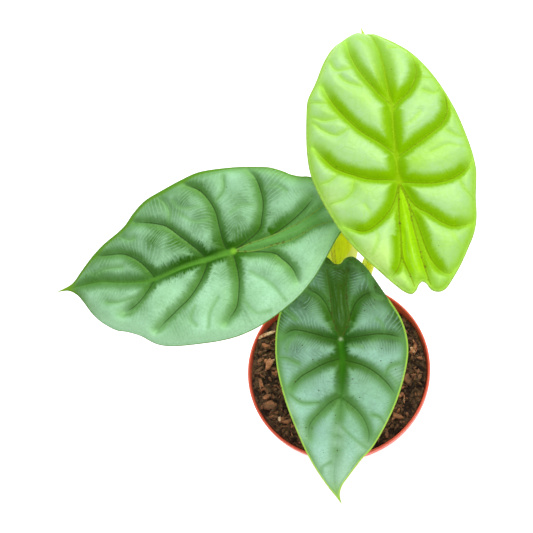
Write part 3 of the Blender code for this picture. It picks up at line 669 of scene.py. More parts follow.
def slope_profile(knots):
    """A slope in degrees against distance, rounded where the straight runs between the knots meet."""
    at = np.arange(-170, 210.5, 0.5)
    value = np.interp(at, [k[0] for k in knots], [k[1] for k in knots])
    value = np.convolve(np.pad(value, 16, mode="edge"), np.ones(33) / 33, "valid")
    slope = np.radians(value)
    start = int(np.argmin(abs(at)))
    reach = np.concatenate([[0], np.cumsum((np.cos(slope[1:]) + np.cos(slope[:-1])) * 0.25)])
    drop = np.concatenate([[0], np.cumsum((np.sin(slope[1:]) + np.sin(slope[:-1])) * 0.25)])
    return at, slope, reach - reach[start], drop - drop[start]


def bend_blade(at_point, heading, pitch, roll, flat, height):
    """Carries flat plan points with a height above the plan to their place on the plant."""
    at, slope, reach, drop = slope_profile(pitch)
    side_at, _, side_reach, side_drop = slope_profile(roll)
    forward = np.array([math.cos(math.radians(heading)), math.sin(math.radians(heading)), 0.0])
    right = np.cross(forward, [0.0, 0.0, 1.0])
    a = np.interp(flat[:, 1], at, slope)
    across = np.interp(flat[:, 0], side_at, side_reach)
    lift = height - np.interp(flat[:, 0], side_at, side_drop)
    along = np.interp(flat[:, 1], at, reach) + np.sin(a) * lift
    up = np.cos(a) * lift - np.interp(flat[:, 1], at, drop)
    return (np.array(at_point) + across[:, None] * right + along[:, None] * forward
            + up[:, None] * np.array([0.0, 0.0, 1.0]))


def vertex_normals(points, faces):
    """The direction square to the skin at each point."""
    normals = np.zeros_like(points)
    tri = np.array(faces)
    n = np.cross(points[tri[:, 1]] - points[tri[:, 0]], points[tri[:, 2]] - points[tri[:, 0]])
    for k in range(3):
        np.add.at(normals, tri[:, k], n)
    return normals / np.linalg.norm(normals, axis=1)[:, None]


def soft_least(a, b, rounding):
    """The lesser of two depths, blended where they are alike, and never under nought."""
    least = np.minimum(a, b)
    return np.maximum(least - rounding * np.log1p(np.exp(-np.abs(a - b) / rounding)), 0.0)


def blade_top(name, panel, pale, shade, lush, band, vivid, line, midrib, costa, strip, knot, rim, tip_tone,
              band_width, core, fringe, feather, comb, thread, thread_spacing, net_size, net_depth, tint,
              speck, bloom_and_valley_shade):
    """The upper skin: pale silvery panels that comb out toward the green along the veins, thin sunken vein
    lines, a fleshy midrib and a bright margin. The panels are paler on their swollen tops and darker in the
    valleys and folds, partly their own tone and partly painted highlight and painted shade. Its colours are
    given as display colours."""
    panel, pale, shade, lush, band, vivid = (display(*c) for c in (panel, pale, shade, lush, band, vivid))
    line, midrib, costa, strip = (display(*c) for c in (line, midrib, costa, strip))
    knot, rim, tip_tone = (display(*c) for c in (knot, rim, tip_tone))
    f = Finish(name, roughness=BLADE_ROUGHNESS, specular=0.42, tint=tint)
    vein, run, calm, spread, green = (f.attribute(a) for a in ("vein", "run", "calm", "spread", "green"))
    edge, small, middle, ribs, tip = (f.attribute(a) for a in ("edge", "small", "middle", "ribs", "tip"))
    lane, heart, dull_and_shade, joint, bright = (f.attribute(a) for a in ("lane", "heart", "dull_and_shade", "joint", "bright"))
    swell, silver_and_light = f.attribute("swell"), f.attribute("silver_and_light")
    drift = f.noise(22.0, detail=1.0)
    clouds = f.noise(7.0, detail=2.0)
    mottle = f.noise(2.4, detail=4.0)
    combed = f.combine(f.plus(f.times(run, 0.8), f.times(clouds, 2.5)), f.times(vein, 0.16))
    streaks = f.times(f.less(f.noise(1.0, combed, detail=3.0, rough=0.65), 0.5), calm)
    reach = f.less(vein, f.times(streaks, feather[0] * 2.0))
    reach = f.plus(reach, f.times(f.less(clouds, 0.5), feather[1]))
    share = f.math("DIVIDE", reach, f.times(spread, band_width))
    bow = f.less(run, f.times(vein, 0.4))
    bow = f.plus(bow, f.plus(f.times(drift, 8.0), f.times(mottle, 0.9)))
    waves = f.math("ABSOLUTE", f.math("SINE", f.times(bow, math.pi / thread_spacing)))
    threads = f.times(f.ramp(waves, 0.0, 0.6, 1.0, 0.0), f.times(calm, f.ramp(vein, 1.0, 5.0)))
    threads = f.math("MAXIMUM", threads, f.times(f.ramp(calm, 0.0, 0.4, 0.4, 0.0), f.ramp(vein, 2.0, 5.0)))
    patchy = f.ramp(f.plus(f.times(clouds, 0.6), f.times(dull_and_shade, 0.5)), 0.2, 0.75)
    patchy = f.times(f.attribute("combed_skin"), patchy)
    threads = f.times(threads, patchy)
    deep = f.mix(heart, band, vivid)
    # Partly own tone, partly painted shade in the valleys and painted highlight on the swollen tops.
    colour = f.mix(f.ramp(swell, *bloom_and_valley_shade), shade, panel)
    colour = f.mix(f.ramp(f.plus(drift, f.times(mottle, 0.3)), 0.5, 0.9, 0.0, 0.4), colour, shade)
    # Patches: partly own tone, partly painted shade (dulled) and painted light (pale).
    colour = f.mix(f.times(dull_and_shade, f.ramp(clouds, 0.3, 0.7, 0.75, 1.0)), colour, lush)
    colour = f.mix(silver_and_light, colour, pale)
    barbs = f.times(f.ramp(streaks, -0.13, 0.02, comb, 0.0), f.ramp(vein, 2.0, 11.0, 1.0, 0.25))
    colour = f.mix(f.times(barbs, green), colour, lush)
    colour = f.mix(f.times(f.times(f.ramp(waves, 0.55, 1.0), patchy), thread * 0.35), colour, lush)
    colour = f.mix(f.times(threads, thread), colour, panel)
    net = f.ramp(f.cells(net_size, feature="DISTANCE_TO_EDGE"), 0.01, 0.14, 1.0, 0.0)
    net = f.times(net, f.times(f.ramp(clouds, 0.35, 0.6), f.ramp(vein, 1.0, 4.0)))
    colour = f.mix(f.times(net, net_depth), colour, lush)
    # Painted shade down in the folds and along the scallop veins.
    colour = f.mix(f.ramp(small, 0.2, 2.6, 0.6, 0.0), colour, shade)
    colour = f.mix(f.ramp(f.noise(1.4, detail=4.0, rough=0.7), 0.42, 0.62, 0.0, 0.2), colour, shade)
    colour = f.mix(f.times(f.ramp(share, core, fringe, 1.0, 0.0), green), colour, deep)
    # A thin dark line on the scallop veins, and painted shade in the bottom of each fold.
    colour = f.mix(f.ramp(small, 0.1, 0.6, 0.25, 0.0), colour, line)
    grain = f.noise(1.0, f.combine(f.times(run, 0.07), f.times(vein, 0.8)), detail=3.0)
    colour = f.mix(f.times(lane, f.ramp(grain, 0.4, 0.66, 1.0, 0.62)), colour, strip)
    colour = f.mix(f.times(f.ramp(vein, 0.1, 0.6, 0.8, 0.0), bright), colour, line)
    colour = f.mix(f.times(f.ramp(middle, 0.3, 1.3, 0.9, 0.0), bright), colour, midrib)
    colour = f.mix(f.ramp(ribs, 0.1, 0.6, 0.8, 0.0), colour, costa)
    scars = f.times(f.ramp(ribs, 0.4, 1.1, 0.6, 0.0), f.ramp(f.noise(2.0, detail=2.0), 0.58, 0.64))
    colour = f.mix(scars, colour, display(76, 42, 24))
    beside_rim = f.math("ABSOLUTE", f.less(edge, MARGIN_WIDTH + 0.6))
    colour = f.mix(f.ramp(beside_rim, 0.1, 0.8, 0.15, 0.0), colour, band)
    colour = f.mix(f.ramp(edge, 0.5, 1.3, 0.95, 0.0), colour, rim)
    colour = f.mix(tip, colour, tip_tone)
    colour = f.mix(joint, colour, knot)
    specks = f.times(f.ramp(f.cells(speck[0]), speck[1] * 0.6, speck[1], 0.8, 0.0), f.ramp(mottle, 0.46, 0.5))
    colour = f.mix(specks, colour, display(70, 42, 30))
    f.colour(colour)
    relief = f.times(streaks, f.ramp(vein, 0.5, 7.0, 1.5, 0.4))
    relief = f.less(relief, f.times(threads, thread))
    relief = f.less(relief, f.times(net, net_depth * 1.5))
    relief = f.plus(relief, f.times(mottle, 0.9))
    f.bump(relief, 0.28, 0.7)
    f.rough(f.ramp(mottle, 0.2, 0.8, BLADE_ROUGHNESS - 0.05, BLADE_ROUGHNESS + 0.1))
    return f.material


def blade_under(name, skin, rib):
    """The underside: paler and duller, with stout pale ribs."""
    f = Finish(name, roughness=0.55, specular=0.35)
    vein, small = f.attribute("vein"), f.attribute("small")
    colour = f.mix(f.noise(9.0, detail=4.0), skin, tuple(c * 0.8 for c in skin))
    colour = f.mix(f.ramp(small, 0.3, 1.4, 0.5, 0.0), colour, rib)
    colour = f.mix(f.ramp(vein, 0.8, 2.4, 0.9, 0.0), colour, rib)
    f.colour(colour)
    f.bump(f.ramp(f.cells(1.3, feature="DISTANCE_TO_EDGE"), 0.0, 0.25), 0.12, 0.6)
    return f.material


def add_blade(name, node, at, heading, bulge, lean, spine, fade, hold, heart, rolled, bare, knob, skins,
              tone_and_light_patches, pitch, roll, left, right, midrib, veins, scallops, creases):
    """A blade as one closed skin, bent from a flat plan in millimetres, (across, along), with the stalk at
    (0, 0) and the tip along +. Pitch and roll give its slope in degrees at distances from the stalk. The
    first two veins are the ribs of the lobes. Lean, spine, fade and hold shape the green along the veins;
    the lean widens it on one side of each vein, partly as painted shade on the slope there.
    Each patch of tone and light has a middle, a reach and an amount: above nought it dulls the panels
    toward the lush green, partly their own tone and partly painted shade, as on the front blade's base in
    the shade of the leaves above; below nought it paints them pale, partly silvery tone and partly painted
    light."""
    edge_left = curve_through(left, 1.0)
    edge_right = curve_through(right, 1.0)
    outline = np.vstack([edge_right, edge_left[-2:0:-1]])
    ring = np.vstack([outline, outline[:1]])
    main = [curve_through(midrib, 1.0)]
    for course in veins:
        line = curve_through(course, 1.0)
        others = np.vstack(main)
        line[0] = others[int(np.argmin(np.linalg.norm(others - line[0], axis=1)))]
        main.append(line)
    grid = hex_grid(outline.min(axis=0), outline.max(axis=0), BLADE_STEP)
    grid = grid[inside(grid, outline)]
    to_line = nearest(grid, main)[0]
    grid = grid[(nearest(grid, [ring])[0] > 0.6 * BLADE_STEP) & (to_line > 0.5 * BLADE_STEP)]
    flat, tris = triangulate(outline, main, grid)
    across, along = flat.T
    vein, which, run, part, side, second = nearest(flat, main)
    scallop = nearest(flat, [curve_through(arc, 1.5) for arc in scallops])[0]
    crease = nearest(flat, [curve_through(arc, 1.5) for arc in creases])[0]
    edge = nearest(flat, [ring])[0]
    middle = nearest(flat, main[:1])[0]
    lobe_gap = inside(flat, np.vstack([main[1], main[2][::-1]]))
    notch = max(main[1][-1][1], main[2][-1][1])
    puff = soft_least(vein, second, AXIL_ROUNDING)
    puff = soft_least(puff, 1.25 * np.maximum(edge - MARGIN_WIDTH, 0.0), 1.2)
    puff = soft_least(puff, scallop + SCALLOP_LEVEL, 0.9)
    puff = soft_least(puff, crease + CREASE_LEVEL, 0.9)
    height = bulge * (1.0 - np.exp(-puff / PUFF_REACH))
    waves = [noise.noise(Vector((x / SKIN_WAVE_LENGTH, y / SKIN_WAVE_LENGTH, bulge))) for x, y in flat]
    height += SKIN_WAVE_HEIGHT * np.array(waves) * unit(edge / 6)
    top = bend_blade(at, heading, pitch, roll, flat, height)
    rib = RIB_DEPTH * np.exp(-(vein / 1.3) ** 2) * unit((edge - 1.0) / 5.0)
    rib += SMALL_RIB_DEPTH * np.exp(-(scallop / 0.7) ** 2) * unit((edge - 1.0) / 3.0)
    skin = BLADE_THICKNESS - EDGE_THINNING * np.exp(-edge)
    under = top - vertex_normals(top, tris) * (skin + rib)[:, None]
    count = len(flat)
    rim = boundary_edges(tris)
    faces = list(tris) + [(b, a, count + a, count + b) for a, b in rim]
    faces += [tuple(count + i for i in t[::-1]) for t in tris]
    # Patches of the leaf's own tone mixed with painted shade (dulling) and painted light (paling).
    dull_and_shade_amount, silver_and_light_amount = np.zeros((2, count))
    for x, y, reach, amount in tone_and_light_patches:
        patch = abs(amount) * np.exp(-((across - x) ** 2 + (along - y) ** 2) / reach ** 2)
        if amount > 0:
            dull_and_shade_amount = np.maximum(dull_and_shade_amount, patch)
        else:
            silver_and_light_amount = np.maximum(silver_and_light_amount, patch)
    lobe_rib = (which == 1) | (which == 2)
    # The lean widens the green on one side of each vein, partly as painted shade on that slope.
    spread = np.where(lobe_rib, 0.5, np.where(which == 0, spine, 0.8 * (1.0 + lean * side)))
    spread *= np.where(which == 0, 1.0, 0.8 + 0.2 * np.exp(-(run / 24.0) ** 2))
    spread *= unit(0.35 + edge / 12.0)
    outward = np.where(which == 0, 1.0, hold + (1.0 - hold) * np.exp(-(run / 16.0) ** 2))
    ending = unit((1.0 - part) / 0.18)
    far = unit((along - fade[0]) / fade[1])
    # Painted light along the silver blade's low edge, where the rolled margin would be in shade.
    low_side_painted_light = min(rolled, 1.0) * unit(-across / 20.0)
    silver_and_light_amount = np.maximum(silver_and_light_amount, 0.85 * low_side_painted_light * np.exp(-(edge / 6.0) ** 2))
    wider = 1.0 + rolled * unit(across / 20.0) * unit((along + 10.0) / 30.0)
    margin = edge / wider + 3.0 * unit((bare - along) / 12.0) + 0.5 * low_side_painted_light
    fields = dict(
        vein=vein, run=run + 37.0 * which, edge=margin, spread=spread, dull_and_shade=dull_and_shade_amount, silver_and_light=silver_and_light_amount,
        middle=middle * np.clip(0.42 + along / 160.0, 0.42, 1.2),
        small=np.minimum(scallop, crease + 0.25),
        calm=unit((second - vein) / 2.0),
        swell=1.0 - np.exp(-puff / PUFF_REACH),
        combed_skin=unit((1.0 - part) / 0.05),
        green=outward * ending * (1.0 - fade[2] * np.where(which == 0, 0.95, 0.5) * far),
        bright=np.where(which == 0, 1.0 - fade[2] * far, ending * (1.0 - 0.5 * fade[2] * far)),
        ribs=nearest(flat, main[1:3])[0],
        joint=0.9 * np.exp(-(np.hypot(across, along + 0.5) / knob) ** 4),
        tip=unit(1.0 - np.linalg.norm(flat - edge_left[-1], axis=1) / 17.0) ** 1.3,
        lane=np.where(lobe_gap, unit(vein / 0.7), 0.0) * unit((along - notch) / 9.0),
        heart=np.exp(-(np.hypot((across - heart[0]) / heart[2], (along - heart[1]) / heart[3])) ** 2))
    twice = {field: np.concatenate([value, value]) for field, value in fields.items()}
    piece = add_mesh(name, np.vstack([top, under]), faces, skins, **twice)
    skin_of_face = np.zeros(len(faces), np.int32)
    skin_of_face[len(tris) + len(rim):] = 1
    piece.data.polygons.foreach_set("material_index", skin_of_face)
    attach(piece, "root")
    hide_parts(node)


lime_top = blade_top(
    "lime_blade_top", panel=(164, 204, 143), pale=(192, 228, 128), shade=(152, 204, 76), lush=(136, 190, 0),
    band=(122, 174, 0), vivid=(114, 168, 0), line=(98, 126, 0), midrib=(122, 166, 0), costa=(112, 144, 0),
    strip=(144, 200, 0), knot=(130, 176, 4), rim=(154, 198, 78), tip_tone=(178, 206, 60), band_width=8.2,
    core=0.42, fringe=1.06, feather=(1.8, 2.2), comb=0.3, thread=0.15, thread_spacing=3.4, net_size=5.4,
    net_depth=0.16, tint=(0.7, 1.0, 0.0), speck=(9.0, 0.045), bloom_and_valley_shade=(0.15, 0.75))
lime_under = blade_under("lime_blade_under", display(160, 208, 112), display(190, 216, 104))
silver_top = blade_top(
    "silver_blade_top", panel=(178, 228, 190), pale=(189, 239, 197), shade=(120, 174, 108), lush=(50, 102, 4),
    band=(52, 110, 0), vivid=(24, 80, 0), line=(34, 58, 28), midrib=(84, 144, 46), costa=(124, 166, 70),
    strip=(94, 154, 74), knot=(124, 184, 48), rim=(86, 138, 30), tip_tone=(140, 180, 20), band_width=8.4,
    core=0.36, fringe=1.0, feather=(7.0, 4.5), comb=0.65, thread=0.32, thread_spacing=2.2, net_size=2.8,
    net_depth=0.08, tint=(0.6, 1.0, 0.2), speck=(9.0, 0.055), bloom_and_valley_shade=(0.2, 0.88))
silver_under = blade_under("silver_blade_under", display(150, 190, 136), display(178, 206, 120))
deep_top = blade_top(
    "deep_blade_top", panel=(185, 237, 217), pale=(196, 240, 208), shade=(118, 176, 104), lush=(38, 68, 0),
    band=(52, 106, 16), vivid=(18, 82, 0), line=(32, 66, 18), midrib=(44, 116, 8), costa=(70, 104, 24),
    strip=(54, 95, 18), knot=(168, 192, 150), rim=(190, 238, 88), tip_tone=(172, 220, 84), band_width=7.8,
    core=0.32, fringe=1.02, feather=(6.5, 4.5), comb=0.7, thread=0.38, thread_spacing=2.0, net_size=2.6,
    net_depth=0.08, tint=(0.6, 1.0, 0.2), speck=(4.6, 0.12), bloom_and_valley_shade=(0.2, 0.88))
deep_under = blade_under("deep_blade_under", display(136, 178, 124), display(168, 200, 112))

add_blade(
    "lime_blade", "blade_back", at=(51.5, 59.2, 242.0), heading=99.0, bulge=4.4, lean=0.2,
    spine=1.05, fade=(60, 34, 0.7), hold=0.97, heart=(3, 12, 11, 34), rolled=0.0, bare=-99, knob=1.2,
    skins=[lime_top, lime_under],
    tone_and_light_patches=[(2, -64, 12, 0.5), (26, -50, 14, 0.4), (34, -33, 12, 0.65), (-42, 5, 8, 0.2), (10, 9, 9, 0.7),
          (20, 20, 7, 0.6), (-23, 4, 8, 0.5), (26, 8, 12, 0.2), (-30, 54, 8, 0.4), (-21, -45, 12, -0.9),
          (-41, -2, 8, -0.5), (-12, -61, 8, -0.5)],
    pitch=[(-75, 8), (0, 3), (70, 5), (103, 18), (119, 80), (122, 78), (130, -15), (142, -15)],
    roll=[(-45, -10), (0, 0), (45, 10)],
    left=[(0, -63), (-2, -64.5), (-4, -67.5), (-7, -69), (-11, -66), (-17, -57.5), (-23, -48),
          (-30, -36.5), (-37, -22), (-42.5, -6), (-46, 7.5), (-48, 20), (-47.7, 33), (-46.2, 45),
          (-44.3, 56), (-42.2, 66), (-40, 71), (-36, 77), (-33, 82.5), (-28.5, 91.5), (-22.5, 101),
          (-15.5, 109), (-9, 115), (-4.6, 120), (-2, 125), (-0.9, 133.5)],
    right=[(0, -63), (1.8, -64.5), (3.8, -69), (7.5, -71), (11.5, -69.8), (16, -65), (22, -57.4),
           (28, -48.3), (33.3, -39.4), (36.7, -30), (39, -18), (41.3, -9), (43.2, 0), (43.5, 10.5),
           (42.8, 21), (41, 36), (38, 50), (34, 63), (29, 75), (23, 86), (16, 95), (10, 102), (5.5, 109),
           (3, 115), (1.8, 120), (0.9, 125), (-0.9, 133.5)],
    midrib=[(0, 0), (3, 30), (5.5, 50), (5.5, 62), (6, 79), (5.5, 92), (3.5, 104), (0, 114), (-0.3, 122)],
    veins=[
        [(0, 0), (-3.5, -17), (-5.5, -33), (-7, -47), (-5.2, -59), (-4.4, -65)],
        [(0, 0), (2.1, -14), (2.2, -27), (2.7, -44.5), (3.6, -62), (4.2, -66)],
        [(0, 1), (-14.8, 5.3), (-23.6, 10.5), (-33, 18), (-38, 26), (-43, 35)],
        [(2, 17), (-6, 27.5), (-14.6, 37.4), (-22, 50), (-26.6, 60), (-31, 74)],
        [(5.5, 50), (-0.8, 61.6), (-5.4, 71.6), (-9, 82), (-11.3, 93.4), (-12, 102)],
        [(0, 0), (-4.5, -10.4), (-9, -17), (-15.5, -22.2), (-24.5, -25.3), (-35, -19)],
        [(-5.5, -33), (-8.1, -46.6), (-11.6, -53.4), (-16, -57)],
        [(0, 0), (11.5, -3.9), (21.2, -5.3), (30.5, -3.8), (37.6, 0.8), (42, 6)],
        [(2, 15.5), (12.6, 20.8), (22.2, 26.2), (30, 31.4), (35, 38.2), (36.5, 47.7), (35.6, 57)],
        [(5.5, 47.5), (10.8, 52.2), (17, 57.2), (22, 64.7), (24.1, 72.3), (23.7, 82.4)],
        [(0, 0), (5.2, -16), (11.9, -23.3), (18.1, -30.3), (23.9, -33.9), (33.8, -33.8)],
        [(2.1, -14), (4.4, -26), (6.3, -45.4), (9.1, -55.3), (14, -61.5), (18.5, -59.5)],
    ],
    scallops=[
        [(-41, 55), (-34, 50), (-25, 49)], [(-41, 51), (-36, 44), (-29, 38), (-22, 40)],
        [(-40, 65), (-33, 62), (-27, 61)], [(-43, 10), (-38, 10), (-33, 13), (-34, 17)],
        [(-40, -4), (-33, -4), (-27, -1), (-24, 6)], [(-24, 90), (-21, 82), (-11, 81)],
        [(-20, 77), (-17, 72), (-9, 66)], [(23, 65), (30, 63), (33, 66)], [(25, 55), (31, 52), (35, 56)],
        [(32, 26), (38, 21), (42, 22)], [(32, -5), (34, -13), (38, -20)], [(12, 90), (16, 89), (19, 92)],
    ],
    creases=[
        [(21, 13), (31, 16), (37, 14), (43, 16)], [(11, 34), (16, 36), (20, 40)],
        [(-18, -27), (-18, -34), (-22, -41)], [(20, -36), (23, -44), (26, -50)],
        [(-5, 103), (-1, 97), (5, 89)], [(-21, -11), (-19, -17), (-18, -24)],
    ],
)
add_blade(
    "silver_blade", "blade_left", at=(-50.9, 43.8, 195.0), heading=188.0, bulge=3.7, lean=0.15,
    spine=0.95, fade=(34, 40, 0.5), hold=0.5, heart=(4, 22, 15, 44), rolled=2.2, bare=-99, knob=1.9,
    skins=[silver_top, silver_under],
    tone_and_light_patches=[(46, 14, 12, 0.6), (44, 38, 14, 0.8), (36, 24, 12, 0.85), (30, 66, 14, 0.8), (18, 90, 16, 0.7),
          (2, 108, 14, 0.45), (-12, 88, 13, 0.45), (29, -34, 13, 0.65), (26, -50, 9, 0.4),
          (12, -5, 12, 0.9), (9, -19, 8, 0.9), (13, 34, 9, 1.0), (25, 42, 10, 1.0), (18, 48, 11, 0.95),
          (11, 62, 10, 0.8), (22, 60, 9, 0.7), (7, 8, 7, 0.95), (23, 13, 10, 0.9), (-8, -4, 8, 0.5),
          (27, -12, 10, 0.5), (14, -30, 8, 0.6), (-10, -24, 7, 0.6), (-18, -18, 7, 0.45),
          (-12, 4, 8, 0.55), (-39, -2, 7, 0.45), (-23, 60, 8, 0.55), (-31, 34, 7, 0.5), (-37, 43, 8, 0.4),
          (-28, -28, 8, 0.35), (-3, -25, 5, 0.5), (-12, -60, 9, -0.5), (-49, -2, 6, -0.45),
          (-47, 46, 7, -0.4), (-12, 66, 5, -0.25), (-26, 50, 6, -0.35), (-6, 74, 6, 0.4),
          (-22, 68, 7, 0.45), (-39, 37, 8, 0.25), (37, -17, 7, 0.5), (-14, -12, 6, 0.4),
          (-45, 12, 7, 0.2), (21, 34, 6, 0.45), (11, -3, 5, 0.5), (-10, 32, 5, 0.4), (12, 28, 6, 0.5),
          (-19, 83, 6, 0.3), (29, -46, 7, 0.35), (28, 57, 6, 0.35), (-44, -15, 6, -0.35),
          (-48, 31, 6, -0.35), (-14, 75, 6, -0.35), (31, 41, 6, -0.3), (-22, 43, 6, -0.35)],
    pitch=[(-70, 18), (0, 9), (60, 13), (118, 20)],
    roll=[(-50, -8), (0, -4), (5, -14), (50, -18)],
    left=[(4, -68), (2, -73.5), (-2, -75), (-6, -70), (-11, -64), (-20, -55.5), (-29.5, -46),
          (-37.5, -35), (-44, -21.5), (-49, -7.5), (-51.5, 6), (-51.5, 18), (-50, 32), (-47.5, 47),
          (-43.5, 57.5), (-36, 67), (-31, 76), (-28, 83), (-20.5, 92), (-13, 98), (-5, 102.5), (2, 107),
          (6.5, 113), (8.3, 121.5)],
    right=[(4, -68), (6, -72.5), (11, -73), (18, -69.5), (25, -64), (30, -57), (32, -51.5), (35, -46),
           (38.5, -41.5), (43, -34), (46, -25), (49, -14), (51.5, 0), (52.5, 11), (51, 22), (48.5, 34),
           (46, 45), (43.5, 51), (39.4, 57.5), (34.2, 64), (31, 70.5), (27, 81), (22, 90.5), (15, 101),
           (10.8, 107), (9.2, 112), (8.3, 121.5)],
    midrib=[(0, 0), (-0.7, 15), (-1.4, 32), (-3.8, 54), (-1.5, 67), (1.8, 78.5), (5.3, 90), (7.5, 110),
            (8.2, 118)],
    veins=[
        [(0, 0), (-3, -12), (-3.2, -23.4), (-2.9, -39.5), (0.3, -52.4), (0, -66)],
        [(0, 0), (2, -12), (2.7, -24.6), (5.6, -44.6), (9.7, -57.2), (12, -64)],
        [(0, 0), (7.3, -17.2), (15.2, -22.3), (23.7, -25.1), (32.4, -25.4), (39.7, -24), (44.2, -21.2)],
        [(0, 0), (4.2, 4), (14.5, 5), (25.2, 5.2), (34, 7.7), (41.6, 12.3), (47.7, 20.6)],
        [(-0.7, 16), (9.4, 23.4), (17.6, 30.4), (25.5, 37.2), (30.1, 45.5), (34.2, 57.5)],
        [(-3.8, 51), (5.1, 56.2), (11.7, 61.6), (17.2, 69.3), (19.7, 80), (21.3, 87.5)],
        [(2.7, -24.6), (7.8, -39.3), (12.3, -48.9), (17, -56)],
        [(0, 0), (-6.9, -22.7), (-13.3, -29.8), (-21, -34.7), (-29.6, -36.7)],
        [(0, 0), (-13.6, -1.2), (-23.4, -0.1), (-34.4, 3.4), (-42, 11)],
        [(-0.7, 15), (-12.5, 22.4), (-21, 31), (-26.3, 39.8), (-31.9, 49.5), (-36, 56)],
        [(-3.8, 52), (-11.2, 59), (-16.5, 66.7), (-19, 75)],
    ],
    scallops=[
        [(27, 35), (35, 33), (44, 38), (46, 41)], [(32, 3), (37, -3), (45, -5)],
        [(10, 91), (11, 83), (9, 71)], [(24, 59), (24, 63), (29, 70)], [(-10, 85), (-12, 77), (-12, 65)],
        [(-13, 59), (-21, 68), (-21, 75)],
    ],
    creases=[
        [(39, 30), (33, 25), (31, 14)], [(30, 27), (23, 19), (22, 10)], [(13, 63), (7, 55)],
        [(26, 43), (21, 34), (14, 28)], [(12, 100), (10, 91), (2, 85)], [(22, -4), (25, -12), (23, -19)],
        [(31, -29), (30, -37), (25, -42)], [(-28, 46), (-36, 50), (-37, 55)],
        [(-28, 28), (-35, 32), (-40, 29)], [(-27, 13), (-34, 19), (-43, 22)],
        [(-29, -1), (-41, -8), (-42, -17)], [(-16, -9), (-26, -20), (-38, -27)],
    ],
)
add_blade(
    "deep_blade", "blade_front", at=(9.2, -4.2, 162.0), heading=267.0, bulge=3.3, lean=0.0,
    spine=0.75, fade=(18, 26, 0.92), hold=0.3, heart=(-4, 0, 18, 10), rolled=0.0, bare=-22, knob=1.2,
    skins=[deep_top, deep_under],
    tone_and_light_patches=[(0, -44, 24, 1.0), (-20, -28, 16, 0.85), (24, -26, 18, 0.9), (-34, -12, 11, 0.8),
          (-36, 20, 10, 0.45), (14, -4, 13, 0.65), (28, 6, 12, 0.6), (-14, -2, 10, 0.5),
          (38, -15, 10, 0.9), (13, 27, 9, 0.35), (12, 8, 8, 0.35), (-29, 0, 9, 0.7), (27, -7, 10, 0.7),
          (3, 82, 14, -0.8), (28, 58, 6, -0.7), (33, 43, 6, -0.6), (-34, 22, 6, -0.4), (-28, 52, 6, -0.5),
          (16, 7, 7, 0.5), (-13, 22, 7, 0.3), (-20, -8, 8, 0.5), (26, 60, 5, -0.5), (17, -15, 6, 0.4),
          (2, 55, 4, -0.75), (3.5, 63, 4.5, -0.75), (4.5, 71, 4, -0.4), (-12, 66, 6, -0.5),
          (13, 54, 6, 0.25)],
    pitch=[(-50, 36), (0, 26), (100, 34)],
    roll=[(-40, -8), (0, 0), (40, 8)],
    left=[(0.5, -45.8), (-1.6, -46.4), (-4, -49.2), (-9, -50.2), (-16, -44), (-26, -29), (-36, -13),
          (-40, 2), (-39, 16), (-34, 34), (-27, 50), (-18, 65.5), (-10.5, 74), (-3, 84), (1.5, 90.5),
          (3.2, 96.5), (2.3, 102.5)],
    right=[(0.5, -45.8), (2.6, -46.3), (5.5, -49.2), (9, -51), (16, -47), (28, -32), (36, -19),
           (39.5, -6), (40.5, 8), (39, 22), (34.5, 40), (28, 58), (22.5, 71), (16.5, 82), (10, 92),
           (6.2, 97), (2.3, 102.5)],
    midrib=[(0, 0), (-0.8, 12), (0.2, 34), (3, 57), (4.4, 70), (6.3, 85), (4.8, 95.5)],
    veins=[
        [(0, 0), (4.3, -12.2), (5.2, -22.8), (6.1, -33.5), (7, -43)],
        [(0, 0), (-5.3, -12.1), (-4.3, -22.7), (-4.1, -33.4), (-5, -43)],
        [(0, 0), (8.8, -1.8), (17.3, -4.2), (28.4, -6), (36, -2.2)],
        [(-0.8, 11), (9.2, 13.9), (17.8, 18.3), (25.4, 23), (31.2, 29.6)],
        [(0.2, 34), (7.3, 38.1), (14.2, 44.7), (20, 51.7), (21.5, 60)],
        [(4.3, -12.2), (8.3, -21.9), (13.2, -28), (19, -30.5)],
        [(0, 0), (-12.8, -2.4), (-22.4, -3.5), (-30, -2.8), (-37, -0.8)],
        [(-0.8, 12), (-12.5, 15.1), (-20.7, 20), (-27.2, 26.2), (-32.4, 33.6)],
        [(0.2, 35), (-7.7, 41.4), (-12.9, 48.2), (-15.7, 56.9), (-14.6, 64.3)],
        [(-5.3, -12.1), (-9.1, -21.8), (-14.6, -27.1), (-20, -28.8)],
    ],
    scallops=[
        [(38, 11), (33, 11), (26, 14)], [(32, 33), (25, 38), (14, 38)], [(34, -19), (29, -15), (27, -13)],
        [(-18, 45), (-23, 47), (-26, 53)], [(-18, -39), (-20, -28), (-25, -25)],
        [(-26, 22), (-29, 16), (-35, 14)],
    ],
    creases=[
        [(21, -31), (13, -27), (6, -18)], [(36, -2), (29, -5), (24, -5)], [(-2, 4), (-9, 3), (-13, 4)],
        [(-19, 0), (-25, -2), (-35, -1)], [(8, 75), (13, 78), (14, 82)], [(0, 53), (-5, 58), (-14, 66)],
        [(-22, -13), (-25, -10), (-26, -4)], [(11, 46), (3, 36), (1, 30)],
        [(-27, 19), (-33, 26), (-34, 30)], [(27, -4), (32, 2), (33, 7)],
    ],
)


# The setting.
# A pale sweep under soft studio light that comes from behind the plant and above, and the photograph's own
# steep viewpoint: about 18 degrees off the vertical, from the front and a little to the right.
PHOTO_SIDE = 533
FOCAL_PIXELS = 1200.0
SENSOR_WIDTH = 36.0
EYE = Vector((75.5, -233.7, 843.4)) * MM
LOOK_AT = Vector((-47.34, 75.01, 92.0)) * MM
FLOOR_EDGES = (-20000.0, 20000.0)
FLOOR_DROP = 0.05
FLOOR_GLOW = 0.62

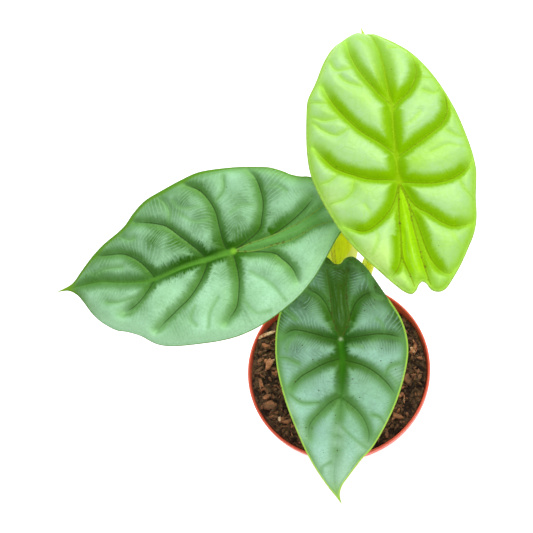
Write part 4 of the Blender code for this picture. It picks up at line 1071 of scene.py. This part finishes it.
floor_finish = Finish("pale_sweep", roughness=0.7, specular=0.2)
floor_finish.colour(floor_finish.mix(floor_finish.noise(120.0, detail=2.0), display(246, 246, 246),
                                     display(250, 250, 250)))
floor_finish.shader.inputs["Emission Color"].default_value = (1.0, 1.0, 1.0, 1.0)
floor_finish.shader.inputs["Emission Strength"].default_value = FLOOR_GLOW
floor_points = [(x, y, -FLOOR_DROP) for x in FLOOR_EDGES for y in FLOOR_EDGES]
floor = add_mesh("floor", floor_points, [(0, 2, 3, 1)], [floor_finish.material], smooth=False)

world = bpy.data.worlds.new("studio")
world.use_nodes = True
room_light = world.node_tree.nodes["Background"]
room_light.inputs["Color"].default_value = (0.97, 0.985, 1.0, 1.0)
room_light.inputs["Strength"].default_value = 0.45
bpy.context.scene.world = world


def add_softbox(name, place, aim, size, power):
    """A rectangular studio lamp at a place in metres, turned toward the aim."""
    light = bpy.data.lights.new(name, "AREA")
    light.shape = "RECTANGLE"
    light.size, light.size_y = size
    light.energy = power
    lamp = bpy.data.objects.new(name, light)
    lamp.location = place
    lamp.rotation_euler = (Vector(aim) - Vector(place)).to_track_quat("-Z", "Y").to_euler()
    bpy.context.scene.collection.objects.link(lamp)


add_softbox("key_softbox", place=(0.25, 1.3, 1.4), aim=(0.0, 0.03, 0.15), size=(1.0, 0.7), power=24.0)
add_softbox("overhead_softbox", place=(0.3, -0.4, 1.9), aim=(0.0, 0.03, 0.1), size=(1.4, 1.4), power=15.0)

camera = bpy.data.objects.new("camera", bpy.data.cameras.new("camera"))
camera.data.sensor_width = SENSOR_WIDTH
camera.data.lens = SENSOR_WIDTH * FOCAL_PIXELS / PHOTO_SIDE
camera.data.clip_start = 0.01
away = (LOOK_AT - EYE).normalized()
side = away.cross(Vector((0.0, 1.0, 0.0))).normalized()
rise = side.cross(away)
camera.matrix_world = Matrix(((side.x, rise.x, -away.x, EYE.x), (side.y, rise.y, -away.y, EYE.y),
                              (side.z, rise.z, -away.z, EYE.z), (0.0, 0.0, 0.0, 1.0)))
bpy.context.scene.collection.objects.link(camera)
bpy.context.scene.camera = camera
bpy.context.scene.view_settings.view_transform = "Standard"
